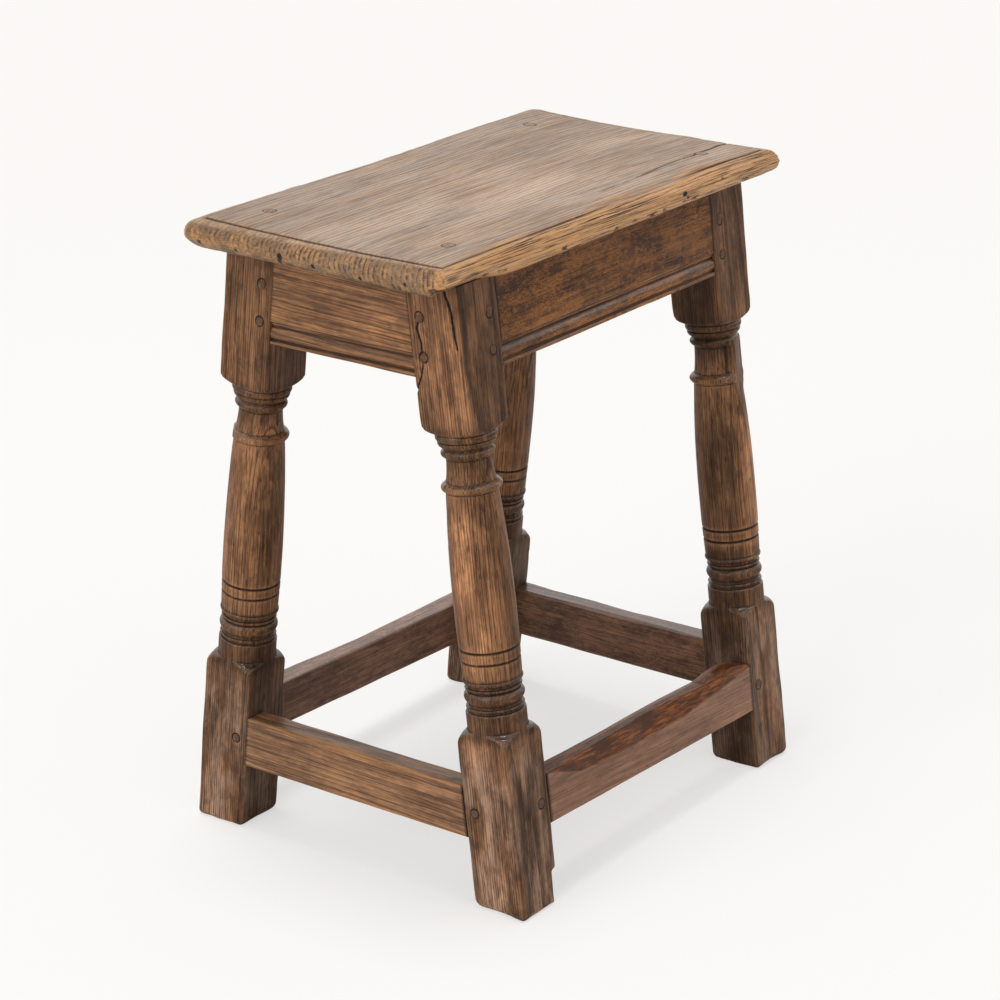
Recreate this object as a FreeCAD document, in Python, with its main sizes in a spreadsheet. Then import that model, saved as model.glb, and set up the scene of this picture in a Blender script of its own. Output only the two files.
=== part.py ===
import FreeCAD, Part
import os
import Sketcher

# Joint stool of oak, made by a joiner: four turned legs, four rails, four
# stretchers and a plank seat, all mortised, tenoned and pegged, with no glue
# and no metal. Millimetres. +X runs along the seat, -Y is the front, +Z is up
# and the origin is on the floor under the middle of the stool. The legs lean
# inwards towards the top across the short way, and stand upright the long way.

doc = FreeCAD.newDocument("JointStool")

# Driving dimensions, each written once.
SIZES = {
    # Seat plank
    "seat_length": 492,
    "seat_width": 270,
    "seat_thickness": 25,
    "seat_height": 560,
    "seat_corner_radius": 8,
    "seat_upper_edge_radius": 12.5,
    "seat_lower_edge_radius": 8,
    "seat_line_inset": 10,
    "seat_line_width": 2.2,
    "seat_line_depth": 1.6,
    # Leg stance
    "leg_stock": 51,
    "leg_splay": 6.6,
    "stance_length": 413,
    "stance_width": 359,
    "leg_arris_radius": 1.5,
    "sole_edge_radius": 5,
    # Turned pattern of the leg, from the floor up
    "lower_block": 151,
    "lower_shoulder": 8.5,
    "base_height": 16,
    "base_quirk_height": 2.5,
    "base_ring_height": 2.5,
    "bead_quirk_height": 3,
    "lower_bead_height": 9.5,
    "cove_quirk_height": 2,
    "cove_ring_height": 2,
    "cove_height": 4,
    "lip_height": 2.5,
    "barrel_height": 159,
    "collar_height": 7.5,
    "neck_height": 22,
    "small_bead_height": 6.5,
    "ovolo_quirk_height": 1,
    "ovolo_height": 5.5,
    "ring_quirk_height": 1,
    "ring_height": 5.5,
    "upper_shoulder": 7,
    "facet_radius": 30,
    "facet_drop": 5.5,
    "base_radius": 25.3,
    "quirk_radius": 22.6,
    "base_ring_radius": 24.2,
    "lower_bead_radius": 25.4,
    "cove_quirk_radius": 21.7,
    "cove_ring_radius": 23.7,
    "cove_radius": 22,
    "lip_radius": 25.2,
    "barrel_foot_radius": 24.8,
    "barrel_radius": 25.5,
    "barrel_swell_height": 53,
    "barrel_top_radius": 21.6,
    "score_low_height": 16,
    "score_high_height": 26,
    "score_width": 2.6,
    "score_depth": 1.3,
    "collar_root_radius": 22.2,
    "collar_radius": 25.2,
    "neck_low_radius": 20.6,
    "neck_top_radius": 18.5,
    "small_bead_root_radius": 19.8,
    "small_bead_radius": 22.3,
    "ovolo_quirk_radius": 19.4,
    "ovolo_foot_radius": 20.8,
    "ovolo_radius": 23.8,
    "ring_quirk_radius": 22.6,
    "ring_root_radius": 24.2,
    "ring_radius": 25.4,
    # How much of an arc's difference in radius or height it swells by
    "slight_swell_share": 0.25,
    "full_swell_share": 0.33,
    # The front right leg was marked out lower: from its block to its barrel by
    # the whole drop, and its collar by a share of it
    "marking_drop": 9,
    "collar_drop_share": 0.6,
    # Rails
    "rail_thickness": 22,
    "long_rail_depth": 79,
    "short_rail_depth": 81,
    "moulding_height": 19.5,
    "moulding_depth": 3,
    "moulding_fillet_height": 3,
    "moulding_fillet_setback": 0.8,
    "moulding_cove_height": 1.2,
    "moulding_quirk_height": 5,
    "moulding_bead_swell": 2.4,
    # Stretchers
    "long_stretcher_depth": 43.5,
    "short_stretcher_depth": 46,
    "stretcher_thickness": 21,
    "front_lift_left": 67.5,
    "front_lift_right": 56,
    "back_lift_left": 61.5,
    "back_lift_right": 49.5,
    "left_lift": 62,
    "right_lift": 54,
    "stretcher_arris_radius": 3,
    # The upper arris of the front stretcher, worn hollow by feet
    "footwear_depth": 7.2,
    "footwear_half_length": 163,
    "footwear_offset": 5,
    "footwear_lean": 63,
    # Mortises and tenons
    "rail_tenon_thickness": 9,
    "rail_tenon_setback": 9,
    "rail_upper_haunch": 14,
    "rail_lower_haunch": 3,
    "stretcher_tenon_thickness": 8,
    "stretcher_tenon_setback": 7,
    "stretcher_haunch": 6,
    "tenon_length": 30,
    "mortise_end_clearance": 1.5,
    "joint_clearance": 0.15,
    # Pegs
    "peg_radius": 4,
    "peg_tip_radius": 3.3,
    "peg_length": 34,
    "peg_proud": 0.8,
    "peg_inset": 11.5,
    "peg_upper_drop": 30,
    "peg_lower_drop": 62,
    "seat_peg_radius": 5.5,
    "seat_peg_tip_radius": 4.7,
    "seat_peg_depth": 30,
    # How far a cutting shape runs past the wood
    "overrun": 5,
}


def write_sizes():
    """Put every driving dimension in the sheet as a named cell."""
    sheet = doc.addObject("Spreadsheet::Sheet", "Sizes")
    for row, (name, value) in enumerate(SIZES.items(), start=1):
        sheet.set(f"A{row}", name)
        sheet.set(f"B{row}", str(value))
        sheet.setAlias(f"B{row}", name)
    doc.recompute()
    return sheet


sizes = write_sizes()

# Places worked out from the sizes, as expressions.
SINE = "sin(Sizes.leg_splay)"
COSINE = "cos(Sizes.leg_splay)"
TANGENT = "tan(Sizes.leg_splay)"
HALF_STOCK = "(Sizes.leg_stock / 2)"
LEG_TOP = "(Sizes.seat_height - Sizes.seat_thickness)"
LEG_LENGTH = f"({LEG_TOP} / {COSINE})"
AXIS_X = f"(Sizes.stance_length / 2 - {HALF_STOCK})"
AXIS_Y = f"(Sizes.stance_width / 2 - {HALF_STOCK} / {COSINE})"
TOP_AXIS_Y = f"({AXIS_Y} - {LEG_TOP} * {TANGENT})"
LONG_SHOULDER = f"(Sizes.stance_length / 2 - Sizes.leg_stock)"
PEG_LINE = f"({HALF_STOCK} - Sizes.peg_inset)"
CORNER_RADIUS = f"({HALF_STOCK} * sqrt(2))"
OUTER_FACE = f"-{HALF_STOCK}"
UPRIGHT = "rotation(vector(1; 0; 0); 0)"
LEANING = "rotation(vector(1; 0; 0); -Sizes.leg_splay)"
INWARDS = "rotation(vector(1; 0; 0); -90)"
TOUCH = 1e-6


def turn(degrees):
    """A rotation about the upright axis."""
    return f"rotation(vector(0; 0; 1); {degrees})"


def place(x, y, z, rotation=UPRIGHT):
    """A placement expression."""
    return f"placement(vector({x}; {y}; {z}); {rotation})"


def across(leg_y, along):
    """Distance from the middle of the stool to a point of a leg, on the level.

    leg_y is measured square to the leg's axis, towards the middle, and along
    is measured up the leg from the floor.
    """
    return f"({AXIS_Y} - ({leg_y}) * {COSINE} - ({along}) * {SINE})"


def height(leg_y, along):
    """Height above the floor of the same point of a leg."""
    return f"(({along}) * {COSINE} - ({leg_y}) * {SINE})"


def inner_face(level):
    """Distance from the middle to a leg's inner face, at a level above the floor."""
    return f"({AXIS_Y} - {HALF_STOCK} / {COSINE} - ({level}) * {TANGENT})"


# Bodies, sketches and features.
def new_body(label):
    """A body with its own label."""
    body = doc.addObject("PartDesign::Body", label)
    body.Label = label
    return body


def value(body, expression):
    """The number that an expression gives now."""
    result = body.evalExpression(expression)
    return float(getattr(result, "Value", result))


def arc_radius(start, end, swell):
    """Radius of an arc from its two ends and how far it swells from its chord."""
    run = f"(({end[0]}) - ({start[0]}))^2"
    rise = f"(({end[1]}) - ({start[1]}))^2"
    return f"(({run} + {rise}) / (8 * ({swell})) + ({swell}) / 2)"


def outline(body, name, plane, points, swells=None, offset=None):
    """A closed sketch through the points, each one tied to its expressions.

    swells maps the number of a side to (swell, hand): that side is an arc that
    swells from its chord, to the left of its run with hand 1, right with -1.
    """
    swells = swells or {}
    sketch = body.newObject("Sketcher::SketchObject", name)
    support = [item for item in body.Origin.OriginFeatures if item.Role == plane][0]
    sketch.AttachmentSupport = (support, [""])
    sketch.MapMode = "FlatFace"
    if offset:
        sketch.setExpression("AttachmentOffset", offset)
    spots = [FreeCAD.Vector(value(body, x), value(body, y), 0) for x, y in points]
    ends = []
    for side, start in enumerate(spots):
        end = spots[(side + 1) % len(spots)]
        if side in swells:
            swell, hand = swells[side]
            run = end - start
            square = FreeCAD.Vector(-run.y, run.x, 0).normalize()
            middle = (start + end) * 0.5 + square * (hand * value(body, swell))
            sketch.addGeometry(Part.Arc(start, middle, end))
            first = sketch.getPoint(side, 1)
            ends.append((1, 2) if (first - start).Length < (first - end).Length else (2, 1))
        else:
            sketch.addGeometry(Part.LineSegment(start, end))
            ends.append((1, 2))
    for side in range(len(spots)):
        after = (side + 1) % len(spots)
        sketch.addConstraint(Sketcher.Constraint("Coincident", side, ends[side][1], after, ends[after][0]))
    for side, (x, y) in enumerate(points):
        for kind, expression, number in (("DistanceX", x, spots[side].x), ("DistanceY", y, spots[side].y)):
            index = sketch.addConstraint(Sketcher.Constraint(kind, -1, 1, side, ends[side][0], number))
            sketch.setExpression(f"Constraints[{index}]", expression)
    for side, (swell, hand) in swells.items():
        radius = arc_radius(points[side], points[(side + 1) % len(points)], swell)
        index = sketch.addConstraint(Sketcher.Constraint("Radius", side, value(body, radius)))
        sketch.setExpression(f"Constraints[{index}]", radius)
    return sketch


def pad(body, name, sketch, length, middle=False, reverse=False):
    """Pad a sketch, from its plane or to both sides of it."""
    feature = body.newObject("PartDesign::Pad", name)
    feature.Profile = sketch
    feature.setExpression("Length", length)
    feature.Midplane = middle
    feature.Reversed = reverse
    return feature


def pocket(body, name, sketch, length, middle=False):
    """Cut a sketch away, from its plane or to both sides of it."""
    feature = body.newObject("PartDesign::Pocket", name)
    feature.Profile = sketch
    feature.setExpression("Length", length)
    feature.Midplane = middle
    return feature


def block(body, name, kind, dimensions, placement):
    """A box that is added to a body or cut from it."""
    feature = body.newObject(f"PartDesign::{kind}Box", name)
    for side, expression in zip(("Length", "Width", "Height"), dimensions):
        feature.setExpression(side, expression)
    feature.setExpression("Placement", placement)
    return feature


def bore(body, name, radius, length, placement):
    """A round hole cut from a body."""
    feature = body.newObject("PartDesign::SubtractiveCylinder", name)
    feature.setExpression("Radius", radius)
    feature.setExpression("Height", length)
    feature.setExpression("Placement", placement)
    return feature


def fillet(body, name, radius, wanted):
    """Round every edge of the body for which wanted says so."""
    doc.recompute()
    base = body.Tip
    names = [f"Edge{number}" for number, edge in enumerate(base.Shape.Edges, start=1) if wanted(edge)]
    feature = body.newObject("PartDesign::Fillet", name)
    feature.Base = (base, names)
    feature.setExpression("Radius", radius)
    return feature


def corner_heights(edge, splay=0):
    """Heights of an edge's ends, in a body that leans by splay degrees."""
    upright = FreeCAD.Rotation(FreeCAD.Vector(1, 0, 0), -splay)
    return [upright.multVec(corner.Point).z for corner in edge.Vertexes]


# Where each piece stands: every leg, rail and stretcher is drawn with its outer
# face towards -Y, on the plane half a leg from its own axis, and then set round
# the stool.
SIDES = {
    "front": place("0", f"-{AXIS_Y}", "0", LEANING),
    "back": place("0", AXIS_Y, "0", f"{turn(180)} * {LEANING}"),
    "left": place(f"-{AXIS_X}", "0", "0", turn(-90)),
    "right": place(AXIS_X, "0", "0", turn(90)),
}
# Lifts of the stretchers, by the end of the piece as it is drawn.
LIFTS = {
    "front": {-1: "Sizes.front_lift_left", 1: "Sizes.front_lift_right"},
    "back": {-1: "Sizes.back_lift_right", 1: "Sizes.back_lift_left"},
    "left": {-1: "Sizes.left_lift", 1: "Sizes.left_lift"},
    "right": {-1: "Sizes.right_lift", 1: "Sizes.right_lift"},
}
DEPTHS = {side: f"Sizes.{'long' if side in ('front', 'back') else 'short'}_stretcher_depth" for side in SIDES}
# Each leg: the side of the long rail that it holds, the short side, which way
# along X it stands, whether the long rail enters it from its own +X face, and
# how much lower its turning was marked out.
LEGS = {
    "leg_front_left": ("front", "left", -1, 1, "0"),
    "leg_front_right": ("front", "right", 1, -1, "Sizes.marking_drop"),
    "leg_back_left": ("back", "left", -1, -1, "0"),
    "leg_back_right": ("back", "right", 1, 1, "0"),
}


# Tenons, mortises and pegs, by their place along a leg.
def rail_joint(depth):
    """Start and height of a rail's tenon along the leg, and its peg places."""
    start = f"({LEG_LENGTH} - {depth} + Sizes.rail_lower_haunch)"
    tall = f"({depth} - Sizes.rail_lower_haunch - Sizes.rail_upper_haunch)"
    pegs = [f"({LEG_LENGTH} - Sizes.{drop})" for drop in ("peg_upper_drop", "peg_lower_drop")]
    return start, tall, pegs


def stretcher_joint(side, lift):
    """The same for a side's stretcher whose underside is at lift along the leg."""
    start = f"({lift} + Sizes.stretcher_haunch)"
    tall = f"({DEPTHS[side]} - 2 * Sizes.stretcher_haunch)"
    return start, tall, [f"({lift} + {DEPTHS[side]} / 2)"]


def along_leg(level):
    """Place up the leg of a level above the floor, on the leg's inner face."""
    return f"((({level}) + {HALF_STOCK} * {SINE}) / {COSINE})"


def joints_at(long_side, short_side, hand):
    """The four joints in one leg: which face, tenon thickness, setback and places."""
    rail = ("Sizes.rail_tenon_thickness", "Sizes.rail_tenon_setback")
    bar = ("Sizes.stretcher_tenon_thickness", "Sizes.stretcher_tenon_setback")
    return {
        "LongRail": ("long", rail, rail_joint("Sizes.long_rail_depth")),
        "ShortRail": ("short", rail, rail_joint("Sizes.short_rail_depth")),
        "LongBar": ("long", bar, stretcher_joint(long_side, LIFTS[long_side][-hand])),
        "ShortBar": ("short", bar, stretcher_joint(short_side, along_leg(LIFTS[short_side][hand]))),
    }


# Legs
def turned_outline(body, drop):
    """Section of the wood that the lathe takes off, from the lower block up."""
    low_parts = ["lower_block", "lower_shoulder", "base_height", "base_quirk_height", "base_ring_height",
                 "bead_quirk_height", "lower_bead_height", "cove_quirk_height", "cove_ring_height", "cove_height",
                 "lip_height"]
    collar_parts = ["barrel_height", "collar_height"]
    parts = low_parts + collar_parts + ["neck_height", "small_bead_height", "ovolo_quirk_height", "ovolo_height",
                                        "ring_quirk_height", "ring_height", "upper_shoulder"]
    levels = {}
    for count, part in enumerate(parts, start=1):
        lowered = drop if part in low_parts else f"{drop} * Sizes.collar_drop_share" if part in collar_parts else "0"
        levels[part] = "(" + " + ".join(f"Sizes.{name}" for name in parts[:count]) + f" - {lowered})"
    outside = "Sizes.leg_stock"
    slope = f"(Sizes.facet_drop / ({CORNER_RADIUS} - Sizes.facet_radius))"
    swell_level = f"({levels['lip_height']} + Sizes.barrel_swell_height)"

    def step(radius, low, high):
        return [(f"Sizes.{radius}", levels[low]), (f"Sizes.{radius}", levels[high])]

    points = [
        (outside, f"({levels['lower_block']} - {slope} * ({outside} - {CORNER_RADIUS}))"),
        ("Sizes.facet_radius", f"({levels['lower_block']} + Sizes.facet_drop)"),
        *step("base_radius", "lower_shoulder", "base_height"),
        *step("quirk_radius", "base_height", "base_quirk_height"),
        *step("base_ring_radius", "base_quirk_height", "base_ring_height"),
        *step("quirk_radius", "base_ring_height", "bead_quirk_height"),
        ("Sizes.quirk_radius", levels["lower_bead_height"]),
        *step("cove_quirk_radius", "lower_bead_height", "cove_quirk_height"),
        *step("cove_ring_radius", "cove_quirk_height", "cove_ring_height"),
        *step("cove_radius", "cove_ring_height", "cove_height"),
        *step("lip_radius", "cove_height", "lip_height"),
        ("Sizes.barrel_foot_radius", levels["lip_height"]),
        ("Sizes.barrel_radius", swell_level),
        ("Sizes.barrel_top_radius", levels["barrel_height"]),
        *step("collar_root_radius", "barrel_height", "collar_height"),
        ("Sizes.neck_low_radius", levels["collar_height"]),
        ("Sizes.neck_top_radius", levels["neck_height"]),
        *step("small_bead_root_radius", "neck_height", "small_bead_height"),
        *step("ovolo_quirk_radius", "small_bead_height", "ovolo_quirk_height"),
        ("Sizes.ovolo_foot_radius", levels["ovolo_quirk_height"]),
        ("Sizes.ovolo_radius", levels["ovolo_height"]),
        *step("ring_quirk_radius", "ovolo_height", "ring_quirk_height"),
        *step("ring_root_radius", "ring_quirk_height", "ring_height"),
        (CORNER_RADIUS, levels["upper_shoulder"]),
        (outside, levels["upper_shoulder"]),
    ]

    def swell_from(radius, level, swell):
        """The arc that starts at a radius and level, and how far it swells outwards."""
        return points.index((f"Sizes.{radius}", levels[level])), (swell, -1)

    slight, full = "Sizes.slight_swell_share", "Sizes.full_swell_share"
    swells = dict([
        swell_from("quirk_radius", "bead_quirk_height", "(Sizes.lower_bead_radius - Sizes.quirk_radius)"),
        swell_from("barrel_foot_radius", "lip_height",
                   f"((Sizes.barrel_radius - Sizes.barrel_foot_radius) * {slight})"),
        swell_from("collar_root_radius", "barrel_height", "(Sizes.collar_radius - Sizes.collar_root_radius)"),
        swell_from("small_bead_root_radius", "neck_height",
                   "(Sizes.small_bead_radius - Sizes.small_bead_root_radius)"),
        swell_from("ovolo_foot_radius", "ovolo_quirk_height",
                   f"((Sizes.ovolo_radius - Sizes.ovolo_foot_radius) * {full})"),
        swell_from("ring_root_radius", "ring_quirk_height", "(Sizes.ring_radius - Sizes.ring_root_radius)"),
        swell_from("ring_root_radius", "ring_height", f"(Sizes.upper_shoulder * {full})"),
    ])
    belly = points.index(("Sizes.barrel_radius", swell_level))
    swells[belly] = (f"((Sizes.barrel_radius - Sizes.barrel_top_radius) * {slight})", -1)
    return outline(body, "TurnedOutline", "XZ_Plane", points, swells), levels


def turned_away(body, name, sketch):
    """Cut a section away all round the axis of a leg."""
    feature = body.newObject("PartDesign::Groove", name)
    feature.Profile = sketch
    feature.ReferenceAxis = (sketch, ["V_Axis"])
    feature.Angle = 360
    return feature


def scored_line(body, name, level):
    """One V-shaped line scored round the foot of the barrel."""
    surface = "Sizes.barrel_foot_radius"
    wide = f"(Sizes.score_width / 2 * (1 + Sizes.overrun / Sizes.score_depth))"
    points = [
        (f"({surface} - Sizes.score_depth)", level),
        (f"({surface} + Sizes.overrun)", f"({level} - {wide})"),
        (f"({surface} + Sizes.overrun)", f"({level} + {wide})"),
    ]
    turned_away(body, name, outline(body, f"{name}Outline", "XZ_Plane", points))


def make_leg(label, long_side, short_side, way, hand, drop):
    """One leg: square stock cut level at both ends, turned, mortised and bored."""
    leg = new_body(label)
    blank = outline(leg, "BlankOutline", "YZ_Plane", [
        (OUTER_FACE, f"({OUTER_FACE} * {TANGENT})"),
        (HALF_STOCK, f"({HALF_STOCK} * {TANGENT})"),
        (HALF_STOCK, f"({LEG_LENGTH} + {HALF_STOCK} * {TANGENT})"),
        (OUTER_FACE, f"({LEG_LENGTH} - {HALF_STOCK} * {TANGENT})"),
    ])
    pad(leg, "Blank", blank, "Sizes.leg_stock", middle=True)
    splay, stock = sizes.leg_splay, sizes.leg_stock
    fillet(leg, "WornSole", "Sizes.sole_edge_radius",
           lambda edge: all(abs(level) < TOUCH for level in corner_heights(edge, splay)))
    fillet(leg, "WornArrises", "Sizes.leg_arris_radius", lambda edge: edge.Length > 2 * stock)
    section, levels = turned_outline(leg, drop)
    turned_away(leg, "Turning", section)
    for name in ("score_low_height", "score_high_height"):
        scored_line(leg, name.title().replace("_", ""), f"({levels['lip_height']} + Sizes.{name})")
    for name, (face, tenon, joint) in joints_at(long_side, short_side, hand).items():
        cut_joint(leg, name, face, tenon, joint, hand)
    slant = "rotation(vector(1; 0; 0); Sizes.leg_splay)"
    foot = f"({LEG_LENGTH} - Sizes.seat_peg_depth * {COSINE})"
    bore(leg, "SeatPegHole", "(Sizes.seat_peg_radius + Sizes.joint_clearance)",
         "(Sizes.seat_peg_depth + Sizes.overrun)", place("0", f"(Sizes.seat_peg_depth * {SINE})", foot, slant))
    lean = LEANING if long_side == "front" else f"{turn(180)} * {LEANING}"
    depth = f"-{AXIS_Y}" if long_side == "front" else AXIS_Y
    leg.setExpression("Placement", place(f"({way} * {AXIS_X})", depth, "0", lean))
    return leg


def cut_joint(leg, name, face, tenon, joint, hand):
    """Cut one mortise into a leg, and bore its peg holes from the face beside it."""
    thickness, setback = tenon
    start, tall, pegs = joint
    gap = "Sizes.joint_clearance"
    reach = "(Sizes.tenon_length + Sizes.mortise_end_clearance + Sizes.overrun)"
    wide = f"({thickness} + 2 * {gap})"
    high = f"({tall} + 2 * {gap})"
    low = f"({start} - {gap})"
    bottom = f"({HALF_STOCK} - Sizes.tenon_length - Sizes.mortise_end_clearance)"
    mouth = f"({HALF_STOCK} + Sizes.overrun)"
    near = f"({OUTER_FACE} + {setback} - {gap})"
    radius = f"(Sizes.peg_radius + {gap})"
    length = "(Sizes.overrun + Sizes.peg_length + Sizes.mortise_end_clearance)"
    if face == "long":
        corner = bottom if hand > 0 else f"-{mouth}"
        block(leg, f"{name}Mortise", "Subtractive", (reach, wide, high), place(corner, near, low))
        for number, level in enumerate(pegs, start=1):
            spot = place(f"({hand} * {PEG_LINE})", f"-{mouth}", level, INWARDS)
            bore(leg, f"{name}PegHole{number}", radius, length, spot)
    else:
        corner = near if hand > 0 else f"({HALF_STOCK} - {setback} - {thickness} - {gap})"
        block(leg, f"{name}Mortise", "Subtractive", (wide, reach, high), place(corner, bottom, low))
        for number, level in enumerate(pegs, start=1):
            spot = place(f"({-hand} * {mouth})", PEG_LINE, level, f"rotation(vector(0; 1; 0); {hand * 90})")
            bore(leg, f"{name}PegHole{number}", radius, length, spot)


# Rails and stretchers
def long_tenon(body, end, tenon, joint):
    """A tenon and its peg holes on one end of a piece that runs the long way."""
    thickness, setback = tenon
    start, tall, pegs = joint
    root = f"({LONG_SHOULDER} - Sizes.overrun)"
    tip = f"({LONG_SHOULDER} + Sizes.tenon_length)"
    corner = root if end > 0 else f"-{tip}"
    side = "Right" if end > 0 else "Left"
    size = ("(Sizes.tenon_length + Sizes.overrun)", thickness, tall)
    block(body, f"{side}Tenon", "Additive", size, place(corner, f"({OUTER_FACE} + {setback})", start))
    for number, level in enumerate(pegs, start=1):
        spot = place(f"({end} * ({LONG_SHOULDER} + Sizes.peg_inset))", OUTER_FACE, level, INWARDS)
        bore(body, f"{side}PegHole{number}", "(Sizes.peg_radius + Sizes.joint_clearance)", "Sizes.leg_stock", spot)


def short_tenon(body, end, tenon, joint):
    """The same on a piece that runs the short way, square to the leaning leg."""
    thickness, setback = tenon
    start, tall, pegs = joint
    side = "Right" if end > 0 else "Left"
    size = ("(Sizes.tenon_length + Sizes.overrun)", thickness, tall)
    from_leg = f"({HALF_STOCK} + Sizes.overrun)" if end > 0 else f"({HALF_STOCK} - Sizes.tenon_length)"
    lean = f"rotation(vector(0; 1; 0); {-end} * Sizes.leg_splay)"
    spot = place(f"({end} * {across(from_leg, start)})", f"({OUTER_FACE} + {setback})", height(from_leg, start), lean)
    block(body, f"{side}Tenon", "Additive", size, spot)
    for number, level in enumerate(pegs, start=1):
        spot = place(f"({end} * {across(PEG_LINE, level)})", OUTER_FACE, height(PEG_LINE, level), INWARDS)
        bore(body, f"{side}PegHole{number}", "(Sizes.peg_radius + Sizes.joint_clearance)", "Sizes.leg_stock", spot)


def run_moulding(body, underside):
    """The moulding run along the lower edge: a fillet, a bead and a quirk."""
    bead_foot = f"({underside} + Sizes.moulding_fillet_height + Sizes.moulding_cove_height)"
    top = f"({underside} + Sizes.moulding_height)"
    quirk = f"({top} - Sizes.moulding_quirk_height)"
    deep = f"({OUTER_FACE} + Sizes.moulding_depth)"
    shallow = f"({OUTER_FACE} + Sizes.moulding_fillet_setback)"
    outside = f"({OUTER_FACE} - Sizes.overrun)"
    section = outline(body, "MouldingOutline", "YZ_Plane", [
        (outside, f"({underside} - Sizes.overrun)"),
        (shallow, f"({underside} - Sizes.overrun)"),
        (shallow, f"({underside} + Sizes.moulding_fillet_height)"),
        (deep, bead_foot),
        (deep, quirk),
        (deep, top),
        (outside, top),
    ], {3: ("Sizes.moulding_bead_swell", 1)})
    pocket(body, "Moulding", section, "Sizes.stance_length", middle=True)


def make_long_rail(side):
    """A long rail, leaning with the legs, its top edge bevelled level."""
    rail = new_body(f"rail_{side}")
    underside = f"({LEG_LENGTH} - Sizes.long_rail_depth)"
    inner = f"({OUTER_FACE} + Sizes.rail_thickness)"
    section = outline(rail, "RailSection", "YZ_Plane", [
        (OUTER_FACE, underside),
        (inner, underside),
        (inner, f"({LEG_LENGTH} + {inner} * {TANGENT})"),
        (OUTER_FACE, f"({LEG_LENGTH} + {OUTER_FACE} * {TANGENT})"),
    ])
    pad(rail, "Blank", section, f"(2 * {LONG_SHOULDER})", middle=True)
    run_moulding(rail, underside)
    tenon = ("Sizes.rail_tenon_thickness", "Sizes.rail_tenon_setback")
    for end in (-1, 1):
        long_tenon(rail, end, tenon, rail_joint("Sizes.long_rail_depth"))
    rail.setExpression("Placement", SIDES[side])
    return rail


def make_short_rail(side):
    """A short rail, upright, its shoulders cut to the lean of the legs."""
    rail = new_body(f"rail_{side}")
    underside = f"({LEG_TOP} - Sizes.short_rail_depth)"
    elevation = short_elevation(rail, underside, LEG_TOP)
    pad(rail, "Blank", elevation, "Sizes.rail_thickness", reverse=True)
    run_moulding(rail, underside)
    tenon = ("Sizes.rail_tenon_thickness", "Sizes.rail_tenon_setback")
    for end in (-1, 1):
        short_tenon(rail, end, tenon, rail_joint("Sizes.short_rail_depth"))
    rail.setExpression("Placement", SIDES[side])
    return rail


def short_elevation(body, low, high):
    """The outline of a short rail or stretcher between the leaning legs."""
    return outline(body, "Elevation", "XZ_Plane", [
        (f"-{inner_face(low)}", low),
        (inner_face(low), low),
        (inner_face(high), high),
        (f"-{inner_face(high)}", high),
    ], offset=place("0", "0", HALF_STOCK))


def rub_arrises(bar):
    """Round the two upper arrises of a stretcher."""
    doc.recompute()
    box = bar.Shape.BoundBox
    middle = (box.ZMin + box.ZMax) / 2
    fillet(bar, "RubbedArrises", "Sizes.stretcher_arris_radius",
           lambda edge: edge.BoundBox.XLength > box.XLength / 2 and min(corner_heights(edge)) > middle)


def hollow_arris(bar, left, right, depth):
    """Hollow the upper outer arris, deepest near its middle, as feet wear it."""
    sink, half = "Sizes.footwear_depth", "Sizes.footwear_half_length"
    radius = f"({half}^2 / (2 * {sink}) + {sink} / 2)"
    lift = f"({radius} - {sink})"
    width = "(2 * Sizes.stretcher_thickness)"
    out, up = "sin(Sizes.footwear_lean)", "cos(Sizes.footwear_lean)"
    fall = f"(({left} - {right}) / (2 * {LONG_SHOULDER}))"
    level = f"(({left} + {right}) / 2 + {depth} + Sizes.footwear_offset * {fall})"
    spot = place("-Sizes.footwear_offset", f"({OUTER_FACE} - {lift} * {out} - {width} / 2 * {up})",
                 f"({level} + {lift} * {up} - {width} / 2 * {out})",
                 f"rotation(vector(0; 1; 0); atan({fall})) * rotation(vector(1; 0; 0); Sizes.footwear_lean - 90)")
    bore(bar, "Footwear", radius, width, spot)


def make_long_stretcher(side):
    """A long stretcher, leaning with the legs."""
    bar = new_body(f"stretcher_{side}")
    left, right, depth = LIFTS[side][-1], LIFTS[side][1], DEPTHS[side]
    elevation = outline(bar, "Elevation", "XZ_Plane", [
        (f"-{LONG_SHOULDER}", left),
        (LONG_SHOULDER, right),
        (LONG_SHOULDER, f"({right} + {depth})"),
        (f"-{LONG_SHOULDER}", f"({left} + {depth})"),
    ], offset=place("0", "0", HALF_STOCK))
    pad(bar, "Blank", elevation, "Sizes.stretcher_thickness", reverse=True)
    rub_arrises(bar)
    if side == "front":
        hollow_arris(bar, left, right, depth)
    tenon = ("Sizes.stretcher_tenon_thickness", "Sizes.stretcher_tenon_setback")
    for end in (-1, 1):
        long_tenon(bar, end, tenon, stretcher_joint(side, LIFTS[side][end]))
    bar.setExpression("Placement", SIDES[side])
    return bar


def make_short_stretcher(side):
    """A short stretcher, upright and level."""
    bar = new_body(f"stretcher_{side}")
    low = LIFTS[side][1]
    elevation = short_elevation(bar, low, f"({low} + {DEPTHS[side]})")
    pad(bar, "Blank", elevation, "Sizes.stretcher_thickness", reverse=True)
    rub_arrises(bar)
    tenon = ("Sizes.stretcher_tenon_thickness", "Sizes.stretcher_tenon_setback")
    for end in (-1, 1):
        short_tenon(bar, end, tenon, stretcher_joint(side, along_leg(low)))
    bar.setExpression("Placement", SIDES[side])
    return bar


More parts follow.
